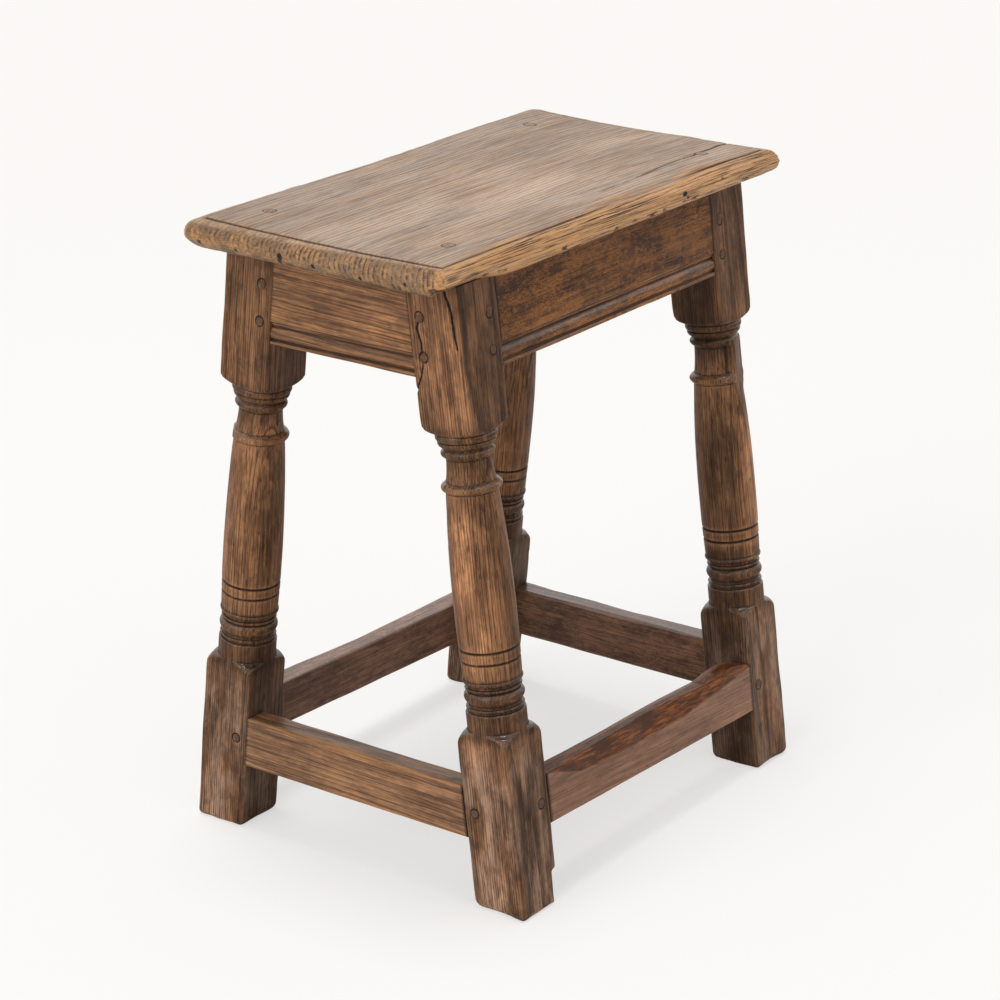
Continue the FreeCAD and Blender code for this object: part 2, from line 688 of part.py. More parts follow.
# Seat
def make_seat():
    """The seat: one plank with a rounded edge and a line scratched inside it."""
    seat = new_body("seat_board")
    long_half, wide_half = "(Sizes.seat_length / 2)", "(Sizes.seat_width / 2)"
    pad(seat, "Plank", rectangle(seat, "PlankOutline", long_half, wide_half), "Sizes.seat_thickness")
    doc.recompute()
    thick = sizes.seat_thickness
    fillet(seat, "Corners", "Sizes.seat_corner_radius",
           lambda edge: abs(edge.Vertexes[0].Z - edge.Vertexes[1].Z) > thick / 2)
    for name, radius, level in (("UpperEdge", "seat_upper_edge_radius", thick),
                                ("LowerEdge", "seat_lower_edge_radius", 0)):
        fillet(seat, name, f"Sizes.{radius}",
               lambda edge, level=level: all(abs(z - level) < TOUCH for z in corner_heights(edge)))
    scratch_line(seat)
    for way in (-1, 1):
        for front in (-1, 1):
            spot = place(f"({way} * {AXIS_X})", f"({front} * {TOP_AXIS_Y})", "-Sizes.overrun")
            name = f"PegHole{'Left' if way < 0 else 'Right'}{'Front' if front < 0 else 'Back'}"
            bore(seat, name, "(Sizes.seat_peg_radius + Sizes.joint_clearance)",
                 "(Sizes.seat_thickness + 2 * Sizes.overrun)", spot)
    seat.setExpression("Placement", place("0", "0", LEG_TOP))
    return seat


def rectangle(body, name, long_half, wide_half):
    """A rectangle about the middle of the seat."""
    points = [(f"({x} * {long_half})", f"({y} * {wide_half})") for x, y in ((-1, -1), (1, -1), (1, 1), (-1, 1))]
    return outline(body, name, "XY_Plane", points)


def scratch_line(seat):
    """Four shallow lines parallel to the edges, that meet near the corners."""
    wide = "Sizes.seat_line_width"
    level = "(Sizes.seat_thickness - Sizes.seat_line_depth)"
    deep = "(Sizes.seat_line_depth + Sizes.overrun)"
    for name, half, run in (("Long", "Sizes.seat_width / 2", "Sizes.seat_length"),
                            ("Short", "Sizes.seat_length / 2", "Sizes.seat_width")):
        length = f"({run} - 2 * Sizes.seat_line_inset)"
        for way in (-1, 1):
            away = f"({way} * ({half} - Sizes.seat_line_inset - {wide} / 2) - {wide} / 2)"
            start = f"(-{length} / 2)"
            long_way = name == "Long"
            size = (length, wide, deep) if long_way else (wide, length, deep)
            corner = (start, away) if long_way else (away, start)
            block(seat, f"{name}Line{'Near' if way < 0 else 'Far'}", "Subtractive", size, place(*corner, level))


# Pegs
def peg(name, radius, tip, length, placement):
    """One tapered peg."""
    cone = doc.addObject("Part::Cone", name)
    cone.setExpression("Radius1", radius)
    cone.setExpression("Radius2", tip)
    cone.setExpression("Height", length)
    cone.setExpression("Placement", placement)
    return cone


def peg_group(label, pegs):
    """Pegs of one kind, as separate solids in one piece."""
    group = doc.addObject("Part::Compound", label)
    group.Label = label
    group.Links = pegs
    return group


def side_pegs(label, side, kind):
    """The pegs through both ends of one rail or stretcher."""
    long_way = side in ("front", "back")
    made = []
    for end in (-1, 1):
        if kind == "rail":
            places = rail_joint("Sizes.long_rail_depth")[2]
        elif long_way:
            places = stretcher_joint(side, LIFTS[side][end])[2]
        else:
            places = stretcher_joint(side, along_leg(LIFTS[side][end]))[2]
        for number, level in enumerate(places, start=1):
            if long_way:
                x, z = f"({end} * ({LONG_SHOULDER} + Sizes.peg_inset))", level
            else:
                x, z = f"({end} * {across(PEG_LINE, level)})", height(PEG_LINE, level)
            spot = place(x, f"({OUTER_FACE} - Sizes.peg_proud)", z, INWARDS)
            name = f"{label}_{'left' if end < 0 else 'right'}_{number}"
            made.append(peg(name, "Sizes.peg_radius", "Sizes.peg_tip_radius",
                            "(Sizes.peg_length + Sizes.peg_proud)", f"{SIDES[side]} * {spot}"))
    return peg_group(label, made)


def make_seat_pegs():
    """Four pegs driven down through the seat into the tops of the legs."""
    down = "rotation(vector(1; 0; 0); 180)"
    made = []
    for way in (-1, 1):
        for front in (-1, 1):
            spot = place(f"({way} * {AXIS_X})", f"({front} * {TOP_AXIS_Y})", "Sizes.seat_height", down)
            name = f"seat_peg_{'left' if way < 0 else 'right'}_{'front' if front < 0 else 'back'}"
            made.append(peg(name, "Sizes.seat_peg_radius", "Sizes.seat_peg_tip_radius",
                            "(Sizes.seat_thickness + Sizes.seat_peg_depth - Sizes.mortise_end_clearance)", spot))
    return peg_group("seat_pegs", made)


pieces = [make_seat(), make_seat_pegs()]
for label, setting in LEGS.items():
    pieces.append(make_leg(label, *setting))
for side in ("front", "back"):
    pieces.append(make_long_rail(side))
    pieces.append(make_long_stretcher(side))
for side in ("left", "right"):
    pieces.append(make_short_rail(side))
    pieces.append(make_short_stretcher(side))
for side in SIDES:
    pieces.append(side_pegs(f"rail_pegs_{side}", side, "rail"))
    pieces.append(side_pegs(f"stretcher_pegs_{side}", side, "stretcher"))

doc.recompute()
for item in doc.Objects:
    if "Invalid" in item.State or "Error" in item.State:
        raise RuntimeError(f"{item.Label} failed: {item.State}")
for piece in pieces:
    if piece.Shape.isNull() or not piece.Shape.isValid():
        raise RuntimeError(f"{piece.Label} has no valid shape")

os.makedirs("parts", exist_ok=True)
for piece in pieces:
    piece.Shape.exportStep(os.path.join("parts", f"{piece.Label}.step"))
    box = piece.Shape.BoundBox
    print(f"{piece.Label}: {len(piece.Shape.Solids)} solids, {piece.Shape.Volume:.0f} mm3, "
          f"x {box.XMin:.1f} to {box.XMax:.1f}, y {box.YMin:.1f} to {box.YMax:.1f}, "
          f"z {box.ZMin:.1f} to {box.ZMax:.1f}")
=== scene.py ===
import itertools
import math

import bpy
import numpy as np
from mathutils import Matrix, Vector


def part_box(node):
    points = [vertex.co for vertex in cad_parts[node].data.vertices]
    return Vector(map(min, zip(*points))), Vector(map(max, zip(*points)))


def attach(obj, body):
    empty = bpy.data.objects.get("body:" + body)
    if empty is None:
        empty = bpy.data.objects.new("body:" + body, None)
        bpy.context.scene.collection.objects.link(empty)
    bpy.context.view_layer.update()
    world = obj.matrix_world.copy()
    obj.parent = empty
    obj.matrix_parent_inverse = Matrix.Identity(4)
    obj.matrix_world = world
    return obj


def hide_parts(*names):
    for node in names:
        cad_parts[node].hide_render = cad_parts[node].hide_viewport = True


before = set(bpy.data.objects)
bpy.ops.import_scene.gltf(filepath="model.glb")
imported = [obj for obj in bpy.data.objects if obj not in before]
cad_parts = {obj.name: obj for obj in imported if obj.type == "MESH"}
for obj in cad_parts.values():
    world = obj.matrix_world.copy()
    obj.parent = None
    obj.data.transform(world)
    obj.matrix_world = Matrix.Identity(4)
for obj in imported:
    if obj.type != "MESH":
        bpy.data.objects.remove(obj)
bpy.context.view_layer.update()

# The stool in millimetres, as the CAD model has it. Each leg, rail and stretcher is
# made in its own upright frame, with its outer face towards -y, and then set in place.
MM = 0.001
SPLAY = math.radians(6.6)
SINE, COSINE, TANGENT = math.sin(SPLAY), math.cos(SPLAY), math.tan(SPLAY)
STOCK = 51.0
HALF = STOCK / 2
STANCE_LENGTH, STANCE_WIDTH = 413.0, 359.0
SEAT_LENGTH, SEAT_WIDTH, SEAT_THICKNESS, SEAT_TOP = 492.0, 270.0, 25.0, 560.0
END_X, EDGE_Y = SEAT_LENGTH / 2, SEAT_WIDTH / 2
LEG_TOP = SEAT_TOP - SEAT_THICKNESS
LEG_LENGTH = LEG_TOP / COSINE
LOWER_BLOCK = 151.0
AXIS_X = STANCE_LENGTH / 2 - HALF
AXIS_Y = STANCE_WIDTH / 2 - HALF / COSINE
LONG_SIDES = ("front", "back")
LONG_SHOULDER = STANCE_LENGTH / 2 - STOCK
RAIL_THICKNESS, LONG_RAIL_DEPTH, SHORT_RAIL_DEPTH = 22.0, 79.0, 81.0
STRETCHER_THICKNESS = 21.0
DEPTHS = {"front": 43.5, "back": 43.5, "left": 46.0, "right": 46.0}
# Heights of the stretchers' undersides at the two ends of each, in its own frame:
# along the leg for the long ones, and straight up for the short ones
LIFTS = {"front": (67.5, 56.0), "back": (49.5, 61.5), "left": (62.0, 62.0), "right": (54.0, 54.0)}
PEG_RADIUS, SEAT_PEG_RADIUS = 4.0, 5.5
PEG_INSET = 11.5
PEG_LINE = HALF - PEG_INSET
RAIL_PEGS = [LEG_LENGTH - drop for drop in (30.0, 62.0)]
# How far the skins of the rails and stretchers run into the legs
OVERLAP = 0.8
# A distance that stands for no peg, crack or hole nearby
FAR = 20.0
# Columns of points across each face of a leg, and the spacing of its rows where it is plain
FACE_STEPS, ROW_STEP = 36, 1.6


# Smooth steps and noise for the shapes
def cell_values(cells, seed):
    """A steady value from -1 to 1 for each whole-number cell; the large numbers scramble its bits."""
    mixed = cells[..., 0] * 73856093 ^ cells[..., 1] * 19349663 ^ cells[..., 2] * 83492791 ^ seed * 2654435
    mixed = (mixed ^ mixed >> 13) * 1274126177 & 0xFFFFFFFF
    mixed = (mixed ^ mixed >> 16) * 668265263 & 0xFFFFFFFF
    return (mixed ^ mixed >> 15) / 0x7FFFFFFF - 1


def noise(points, size, seed=0, octaves=1):
    """Smooth noise about -1 to 1 at each point; size is the noise's grain along x, y and z."""
    total, strength, reach = 0, 1, 0
    spots = np.asarray(points, float) / np.asarray(size, float)
    for octave in range(octaves):
        low = np.floor(spots).astype(np.int64)
        part = spots - low
        part = part * part * (3 - 2 * part)
        layer = 0
        for corner in itertools.product((0, 1), repeat=3):
            weight = np.prod(np.where(corner, part, 1 - part), axis=-1)
            layer = layer + weight * cell_values(low + corner, seed + octave)
        total = total + strength * layer
        reach += strength
        strength, spots = strength / 2, spots * 2.03
    return total / reach * 1.5


def rough(points, seed, *layers):
    """Layers of two-octave noise added up; each is its strength, its size and what it adds to the seed."""
    return sum(strength * noise(points, size, seed + number, 2) for strength, size, number in layers)


def ease(value, low, high):
    """0 below low, 1 above high, and smooth between."""
    share = np.clip((value - low) / (high - low), 0, 1)
    return share * share * (3 - 2 * share)


def fade(value, low, high):
    """1 below low, 0 above high, and smooth between."""
    return ease(-value, -high, -low)


def between(value, low, high, soft):
    """1 from low to high, with ends that are soft either way."""
    return ease(value, low - soft, low + soft) * fade(value, high - soft, high + soft)


def nearer(one, other):
    """Whichever signed distance is nearer to 0."""
    return np.where(np.abs(other) < np.abs(one), other, one)


def to_path(points, path):
    """Distance from each point, in two coordinates, to a path of straight runs; below 0 on its right."""
    nearest = np.full(points.shape[:-1], 1e3)
    for start, end in zip(path[:-1], path[1:]):
        start, run = np.array(start, float), np.subtract(end, start).astype(float)
        offset = points - start
        along = np.clip(offset @ run / (run @ run), 0, 1)
        apart = np.linalg.norm(offset - along[..., None] * run, axis=-1)
        apart = np.where(run[0] * offset[..., 1] - run[1] * offset[..., 0] < 0, -apart, apart)
        nearest = nearer(nearest, apart)
    return nearest


# Frames of the pieces
def leaning(points):
    """A leg's own frame set upright in the middle of the front, with its lean."""
    x, y, z = np.moveaxis(points, -1, 0)
    return np.stack([x, y * COSINE + z * SINE - AXIS_Y, z * COSINE - y * SINE], axis=-1)


def turned(points, quarter_turns):
    """The points turned about the upright axis."""
    x, y, z = np.moveaxis(points, -1, 0)
    for _ in range(quarter_turns):
        x, y = -y, x
    return np.stack([x, y, z], axis=-1)


def moved(points, x=0.0, z=0.0):
    return points + np.array([x, 0.0, z])


PLACES = {
    "front": leaning,
    "back": lambda points: turned(leaning(points), 2),
    "left": lambda points: moved(turned(points, 3), x=-AXIS_X),
    "right": lambda points: moved(turned(points, 1), x=AXIS_X),
}


def stretcher_peg(side, end):
    """Height up the leg of the peg at a stretcher's end, which is -1 or 1 in its own frame."""
    lift = LIFTS[side][end > 0]
    if side not in LONG_SIDES:
        lift = (lift + HALF * SINE) / COSINE
    return lift + DEPTHS[side] / 2


# Skins
def soften(rows, times):
    """Rows and columns averaged with their neighbours; columns run round."""
    for _ in range(times):
        rows = (np.roll(rows, 1, axis=1) + np.roll(rows, -1, axis=1) + 2 * rows) / 4
        inner = (rows[:-2] + rows[2:] + 2 * rows[1:-1]) / 4
        rows = np.concatenate([rows[:1], inner, rows[-1:]])
    return rows


def outward(points):
    """Outward unit normals of a tube of rows."""
    along = np.gradient(points, axis=0)
    around = np.roll(points, -1, axis=1) - np.roll(points, 1, axis=1)
    normal = np.cross(around, along)
    normal /= np.linalg.norm(normal, axis=-1, keepdims=True) + 1e-9
    middle = points.mean(axis=1, keepdims=True)
    if np.median(np.sum(normal * (points - middle), axis=-1)) < 0:
        normal = -normal
    return normal


def crests(points, normal, times, reach):
    """How much each point stands out as a crest (wear) or sinks in as a hollow (dirt)."""
    rise = np.sum((points - soften(points, times)) * normal, axis=-1)
    return np.clip(rise / reach, 0, 1), np.clip(-rise / reach, 0, 1)


def inside(points, node):
    """The points kept within the CAD node's own box."""
    low, high = (np.array(corner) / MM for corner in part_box(node))
    return np.clip(points, low, high)


def add_object(name, data):
    holder = bpy.data.objects.new(name, data)
    bpy.context.scene.collection.objects.link(holder)
    return holder


def add_piece(node, vertices, faces, layers, material, flat_ends=True):
    """A mesh from points in millimetres that stands for its CAD node.

    Each layer, one number or a value for each point, becomes a vertex attribute.
    """
    mesh = bpy.data.meshes.new(node + "_worn")
    mesh.from_pydata((vertices * MM).tolist(), [], faces)
    for layer, values in layers.items():
        kind, field = ("FLOAT_VECTOR", "vector") if layer == "grain" else ("FLOAT", "value")
        if np.ndim(values) == 0:
            values = np.full(len(vertices), values)
        attribute = mesh.attributes.new(layer, kind, "POINT")
        attribute.data.foreach_set(field, np.ascontiguousarray(values, dtype=np.float32).ravel())
    mesh.update()
    mesh.polygons.foreach_set("use_smooth", [len(face) == 4 or not flat_ends for face in faces])
    mesh.materials.append(material)
    piece = add_object(node + "_worn", mesh)
    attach(piece, "root")
    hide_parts(node)


def add_tube(node, points, layers, material):
    """A piece from rows of points, joined into a closed tube with filled ends; the columns run round."""
    points = inside(points, node)
    rows, columns = points.shape[:2]
    index = np.arange(rows * columns).reshape(rows, columns)
    after = np.roll(index, -1, axis=1)
    faces = np.stack([index[:-1], after[:-1], after[1:], index[1:]], axis=-1).reshape(-1, 4)
    flat = points.reshape(-1, 3)
    a, b, c, d = (flat[faces[:, k]] for k in range(4))
    inside_out = np.sum(np.cross(a - c, b - d) * (a + b + c + d - 4 * flat.mean(axis=0))) < 0
    first, last = index[0].tolist(), index[-1].tolist()
    if inside_out:
        faces, first, last = faces[:, ::-1], first[::-1], last[::-1]
    add_piece(node, flat, faces.tolist() + [first[::-1], last], layers, material)


def ring_count(grain, heart, pitch, wander, seed):
    """Growth rings counted out from the tree's heart, at each point of the wood."""
    reach = np.linalg.norm(grain[..., :2] - np.array(heart, float), axis=-1)
    slow = noise(grain, (60, 60, 260), seed, 2)
    fine = noise(grain, (14, 14, 120), seed + 7, 2)
    return (reach + wander * slow + wander * 0.25 * fine) / pitch


def ring_relief(count, grain, depth, seed):
    """Height of the surface over the rings: the open early wood has worn away."""
    share = count - np.floor(count)
    early = np.exp(-((share - 0.5) / 0.2) ** 2)
    patchy = 0.65 + 0.35 * noise(grain, (20, 20, 90), seed + 3)
    return -depth * early * patchy


# Materials
def colour(red, green, blue):
    """A shader colour from the usual 0 to 255 values."""
    shares = (value / 255 for value in (red, green, blue))
    return (*(s / 12.92 if s <= 0.04045 else ((s + 0.055) / 1.055) ** 2.4 for s in shares), 1.0)


class Graph:
    """The shader nodes of a material or a world."""

    def __init__(self, owner):
        owner.use_nodes = True
        self.tree = owner.node_tree
        self.tree.nodes.clear()

    def add(self, kind, inputs=None, **settings):
        """A node, whose inputs are other nodes' outputs or plain values."""
        node = self.tree.nodes.new("ShaderNode" + kind)
        for key, value in settings.items():
            setattr(node, key, value)
        for key, value in (inputs or {}).items():
            if isinstance(value, bpy.types.NodeSocket):
                self.tree.links.new(value, node.inputs[key])
            else:
                node.inputs[key].default_value = value
        return node

    def math(self, operation, *values):
        return self.add("Math", dict(enumerate(values)), operation=operation).outputs[0]

    def times(self, one, other):
        return self.math("MULTIPLY", one, other)

    def scaled(self, value, factor, base):
        """The value times the factor, plus the base."""
        return self.math("MULTIPLY_ADD", value, factor, base)

    def larger(self, one, other):
        return self.math("MAXIMUM", one, other)

    def smaller(self, one, other):
        return self.math("MINIMUM", one, other)

    def mix(self, factor, first, second, blend="MIX"):
        inputs = {0: factor, 6: first, 7: second}
        return self.add("Mix", inputs, data_type="RGBA", blend_type=blend).outputs[2]

    def mix_shader(self, factor, first, second):
        return self.add("MixShader", {0: factor, 1: first, 2: second}).outputs[0]

    def span(self, value, low, high, to_low=0.0, to_high=1.0):
        """to_low below low, to_high above high, and smooth between."""
        inputs = {0: value, 1: low, 2: high, 3: to_low, 4: to_high}
        return self.add("MapRange", inputs, interpolation_type="SMOOTHSTEP").outputs[0]

    def noise(self, vector, size, detail=2.0, roughness=0.5, distortion=0.0):
        """Noise whose grain along x, y and z is size, in the vector's own units."""
        finer = tuple(1 / part for part in size)
        scaled = self.add("VectorMath", {0: vector, 1: finer}, operation="MULTIPLY")
        inputs = {"Vector": scaled.outputs[0], "Scale": 1.0, "Detail": detail, "Roughness": roughness,
                  "Distortion": distortion}
        return self.add("TexNoise", inputs).outputs[0]

    def dim(self, base, share):
        """The colour times a grey share."""
        grey = self.add("CombineColor", {0: share, 1: share, 2: share}).outputs[0]
        return self.mix(1.0, base, grey, "MULTIPLY")

    def layer(self, name, vector=False):
        """A vertex attribute of the piece."""
        node = self.add("Attribute", attribute_name=name)
        return node.outputs["Vector" if vector else "Fac"]


# the grey of the painted sheen, and the black of cracks, peg gaps and holes
GREY_PAINTED_SHEEN, CRACK_BLACK = colour(172, 154, 140), colour(20, 14, 10)


def oak(name, dark, middle, light, worn, dirt=(28, 19, 14), rings=0.75, pores=0.6, fleck=0.0, mottle=0.5,
        level=0.22, roughness=0.42, painted_sheen=0.0, splits=0.6, holes=False, burnt=None, polish=0.0, thin=0.75,
        streak=(1.1, 1.1, 60.0), field=(24.0, 24.0, 80.0), torn=(0.9, 0.9, 30.0)):
    """Old waxed oak: rings, pores, ray fleck, handling wear and dirt in the hollows.

    dark to worn, dirt and burnt are 0 to 255 colours. streak, field and torn are the grain
    of the fine streaks, of the wide patches and of the torn lines, in millimetres. Where
    asked, a painted sheen is laid on: a grey veil in patches.
    """
    material = bpy.data.materials.new(name)
    graph = Graph(material)
    deepest = colour(*(0.5 * part for part in dark))
    dark, middle, light, worn, dirt = (colour(*shade) for shade in (dark, middle, light, worn, dirt))
    grain = graph.layer("grain", vector=True)
    across = graph.layer("across")
    wear = graph.layer("wear")

    # growth rings, streaks, pores and flecks
    wobble = graph.noise(grain, (3.0, 3.0, 40.0), 2.0, 0.5)
    count = graph.scaled(wobble, 0.35, graph.layer("rings"))
    phase = graph.math("FRACT", count)
    each = graph.add("TexWhiteNoise", {"W": graph.math("FLOOR", count)}, noise_dimensions="1D").outputs[0]
    early = graph.larger(graph.span(phase, 0.0, 0.4, 1.0, 0.0), graph.span(phase, 0.93, 1.0))
    early = graph.times(early, graph.span(each, 0.0, 1.0, 0.5, 1.0))
    streaks = graph.noise(grain, streak, 4.0, 0.62)
    soft = graph.noise(grain, (4.5, 4.5, 60.0), 2.0, 0.55)
    hairs = graph.noise(grain, (0.8, 0.8, 10.0), 2.0, 0.6)
    patches = graph.noise(grain, field, 3.0, 0.6, 0.4)
    blotches = graph.noise(grain, (8.0, 8.0, 15.0), 3.0, 0.6, 0.8)
    warm = graph.scaled(soft, 0.6, graph.times(patches, 0.4))
    base = graph.mix(graph.span(warm, 0.36, 0.64), middle, light)
    # painted sheen: a grey veil in patches, laid where the board layer lets it lie, stands in for the
    # reflection of a bright room
    if painted_sheen:
        painted_sheen_patches = graph.times(graph.span(patches, 0.36, 0.62), graph.layer("board"))
        base = graph.mix(graph.times(painted_sheen_patches, painted_sheen), base, GREY_PAINTED_SHEEN)
    hair = graph.times(graph.span(streaks, 0.5, 0.6), graph.scaled(across, -0.25, thin))
    base = graph.mix(graph.span(streaks, 0.46, 0.36, 0.0, 0.55), base, light)
    base = graph.mix(hair, base, dark)
    lines = graph.times(early, graph.scaled(across, 0.15, rings))
    base = graph.mix(graph.smaller(lines, 1.0), base, dark)
    pore = graph.times(graph.span(hairs, 0.52, 0.64), graph.scaled(early, 0.7, 0.3))
    base = graph.mix(graph.times(pore, pores), base, deepest)
    if fleck:
        rays = graph.noise(grain, (1.2, 4.0, 4.0), 3.0, 0.65, 1.3)
        flecks = graph.times(graph.span(rays, 0.5, 0.57), graph.span(blotches, 0.34, 0.5))
        base = graph.mix(graph.times(flecks, fleck), base, light)
    stain = graph.scaled(blotches, 0.6, graph.times(patches, 0.4))
    base = graph.dim(base, graph.span(stain, 0.36, 0.62, 1.0 - mottle * 0.5, 1.0 + mottle * 0.14))
    # tone lightens or darkens in stops: random tone, and painted light and shade on lit, shaded and inner
    # sides
    base = graph.dim(base, graph.math("POWER", 2.0, graph.layer("tone")))

    # rubbed and torn wood
    if burnt:
        embers = graph.span(graph.noise(grain, (1.8, 1.8, 22.0), 4.0, 0.65), 0.4, 0.66)
        fields = graph.span(graph.noise(grain, (9.0, 9.0, 40.0), 4.0, 0.6), 0.34, 0.56)
        bare = graph.mix(graph.times(embers, fields), colour(*burnt), worn)
        rubbed = graph.times(wear, 0.97)
    else:
        bare = worn
        rubbed = graph.times(wear, graph.span(streaks, 0.66, 0.4, 0.35, 1.0))
        rubbed = graph.smaller(rubbed, 0.85)
    base = graph.mix(rubbed, base, bare)
    split = graph.span(graph.noise(grain, torn, 3.0, 0.6, 0.2), 0.52, 0.58)
    split = graph.times(split, graph.times(wear, splits))
    base = graph.mix(graph.times(split, graph.math("SUBTRACT", 1.0, across)), base, deepest)

    # dirt, the gaps round the pegs, cracks and worm holes
    soot = graph.times(graph.layer("dirt"), graph.span(blotches, 0.25, 0.5, 0.7, 1.0))
    base = graph.mix(graph.smaller(soot, 0.95), base, dirt)
    peg = graph.layer("peg")
    ring = graph.times(graph.span(peg, 3.0, 3.8), graph.span(peg, 4.4, 5.4, 1.0, 0.0))
    gap = graph.times(ring, graph.span(blotches, 0.3, 0.5, 0.55, 1.0))
    ragged = graph.scaled(graph.noise(grain, (1.6, 1.6, 5.0), 2.0), 1.2, -0.6)
    crack = graph.math("ABSOLUTE", graph.math("ADD", graph.layer("crack"), ragged))
    crack = graph.span(crack, 0.35, 1.0, 1.0, 0.0)
    if holes:
        crack = graph.larger(crack, graph.span(graph.layer("hole"), 0.5, 1.1, 1.0, 0.0))
    base = graph.mix(graph.larger(gap, crack), base, CRACK_BLACK)

    # fine relief and sheen
    height = graph.scaled(early, -0.6, graph.times(streaks, 0.3))
    height = graph.scaled(pore, -0.4, height)
    height = graph.scaled(split, -1.0, height)
    height = graph.scaled(blotches, 0.5, height)
    bump = graph.add("Bump", {"Strength": 0.5, "Distance": 0.0004, "Height": height})
    matt = graph.larger(graph.larger(soot, crack), graph.times(early, 0.6))
    gloss = graph.scaled(matt, 0.22, graph.span(blotches, 0.3, 0.75, roughness - 0.07, roughness + 0.1))
    surface = {"Base Color": base, "Roughness": gloss, "Normal": bump.outputs[0], "Specular IOR Level": level}
    if polish:
        # hands and cloths polish what looks upwards
        facing = graph.add("SeparateXYZ", {0: graph.add("NewGeometry").outputs["Normal"]}).outputs[2]
        surface["Coat Weight"] = graph.times(graph.span(facing, 0.25, 0.8), polish)
        surface["Coat Roughness"], surface["Coat IOR"] = 0.2, 1.6
    shader = graph.add("BsdfPrincipled", surface)
    graph.add("OutputMaterial", {0: shader.outputs[0]})
    return material


LEG_WOOD = oak("leg_wood", (57, 35, 23), (111, 77, 54), (152, 108, 74), (172, 124, 86), mottle=0.85,
               polish=0.7, thin=0.66, pores=0.65, level=0.12, painted_sheen=0.36)
SEAT_WOOD = oak("seat_wood", (96, 69, 48), (162, 129, 99), (194, 160, 129), (214, 155, 92), painted_sheen=0.5,
                mottle=0.32, roughness=0.36, level=0.3, splits=1.0, holes=True, dirt=(50, 36, 27), thin=0.5,
                streak=(2.8, 1.2, 70.0), field=(55.0, 55.0, 150.0), torn=(1.2, 0.8, 60.0))
SIDE_RAIL_WOOD = oak("rail_side_wood", (74, 46, 27), (136, 93, 61), (168, 120, 78), (160, 116, 77),
                     rings=0.95, mottle=0.6, polish=0.5)
# its worn colour is greyish: on the moulding's crests it stands partly for painted sheen, and on the front
# rail bead lightens the moulding band for the same sheen
FRONT_RAIL_WOOD = oak("rail_front_wood", (42, 22, 11), (88, 51, 27), (150, 98, 52), (148, 120, 102),
                      fleck=1.0, rings=0.3, mottle=1.0, polish=1.0, level=0.14)
BAR_WOOD = oak("stretcher_wood", (76, 49, 33), (136, 97, 69), (166, 122, 86), (182, 130, 78), rings=0.8,
               mottle=0.6, polish=0.3)
FRONT_BAR_WOOD = oak("stretcher_front_wood", (92, 60, 43), (137, 97, 75), (156, 116, 92), (152, 87, 40),
                     rings=0.2, splits=0.0, mottle=0.3, thin=0.45, burnt=(70, 39, 20), level=0.18,
                     roughness=0.34)
DARK_BAR_WOOD = oak("stretcher_dark_wood", (52, 32, 23), (104, 72, 55), (138, 98, 74), (134, 106, 90),
                    fleck=0.6, rings=0.35, mottle=0.9, splits=0.2, polish=0.8)
PEG_WOOD = oak("peg_wood", (52, 34, 24), (88, 60, 42), (118, 84, 60), (136, 100, 72), rings=0.0)


# Legs
# The turning from the lower block up. Each part has the radius at its top, the height of
# its top, the swell of its side and the spacing of its rows.
TURNING_FOOT = (44.0, 144.3)
TURNING = [
    (30.0, 157.0, 0.0, 0.8), (25.8, 159.2, -0.3, 0.5), (25.3, 160.0, 0.0, 0.5), (25.3, 174.2, 0.0, 0.9),
    (24.4, 175.8, 0.3, 0.4), (22.6, 176.1, 0.0, 0.4), (22.6, 178.2, -0.2, 0.4), (24.2, 178.5, 0.0, 0.4),
    (24.2, 180.3, 0.3, 0.4), (22.5, 180.6, 0.0, 0.4), (22.6, 183.4, -0.6, 0.4), (23.0, 193.0, 2.5, 0.5),
    (21.7, 193.3, 0.0, 0.4), (21.7, 195.0, -0.2, 0.4), (23.7, 195.3, 0.0, 0.4), (23.7, 197.0, 0.3, 0.4),
    (22.0, 197.3, 0.0, 0.4), (22.2, 200.6, -0.6, 0.4), (24.8, 201.0, 0.0, 0.4), (25.3, 203.2, 0.3, 0.5),
    (24.6, 203.9, 0.0, 0.4), (25.5, 256.5, 0.2, 1.1), (21.7, 361.3, 1.0, 1.6), (21.2, 362.3, 0.0, 0.4),
    (22.2, 362.9, 0.0, 0.4), (22.0, 370.2, 3.1, 0.45), (20.6, 371.0, 0.0, 0.4), (20.2, 373.0, -0.1, 0.5),
    (18.5, 390.2, -0.4, 0.8), (19.5, 391.4, 0.0, 0.4), (20.0, 398.2, 2.4, 0.5), (19.4, 399.0, 0.0, 0.4),
    (20.8, 399.8, 0.0, 0.4), (23.8, 404.8, 1.0, 0.5), (22.6, 405.4, 0.0, 0.4), (24.0, 406.0, 0.0, 0.4),
    (24.6, 411.0, 0.9, 0.5), (24.0, 411.8, 0.0, 0.4), (36.2, 418.4, 2.2, 0.6), (46.0, 419.6, 0.0, 0.6),
]
# Heights where the drop of a turning eases off, and the share of it that is left there
DROP_LEVELS, DROP_SHARES = (160, 225, 363, 374, 391), (1, 0.8, 0.6, 0.5, 0)
SCORED_LINES, SCORE_DEPTH, SCORE_HALF_WIDTH = (219.5, 229.7), 1.5, 1.4
# Rows near the sole, close together where it is rounded
SOLE_ROWS = [0.0, 0.25, 0.7, 1.3, 2.1, 3.1, 4.3, 5.7, 7.4, 9.4, 11.7]
# A radius that leaves the square stock as it is
UNTURNED = 60.0


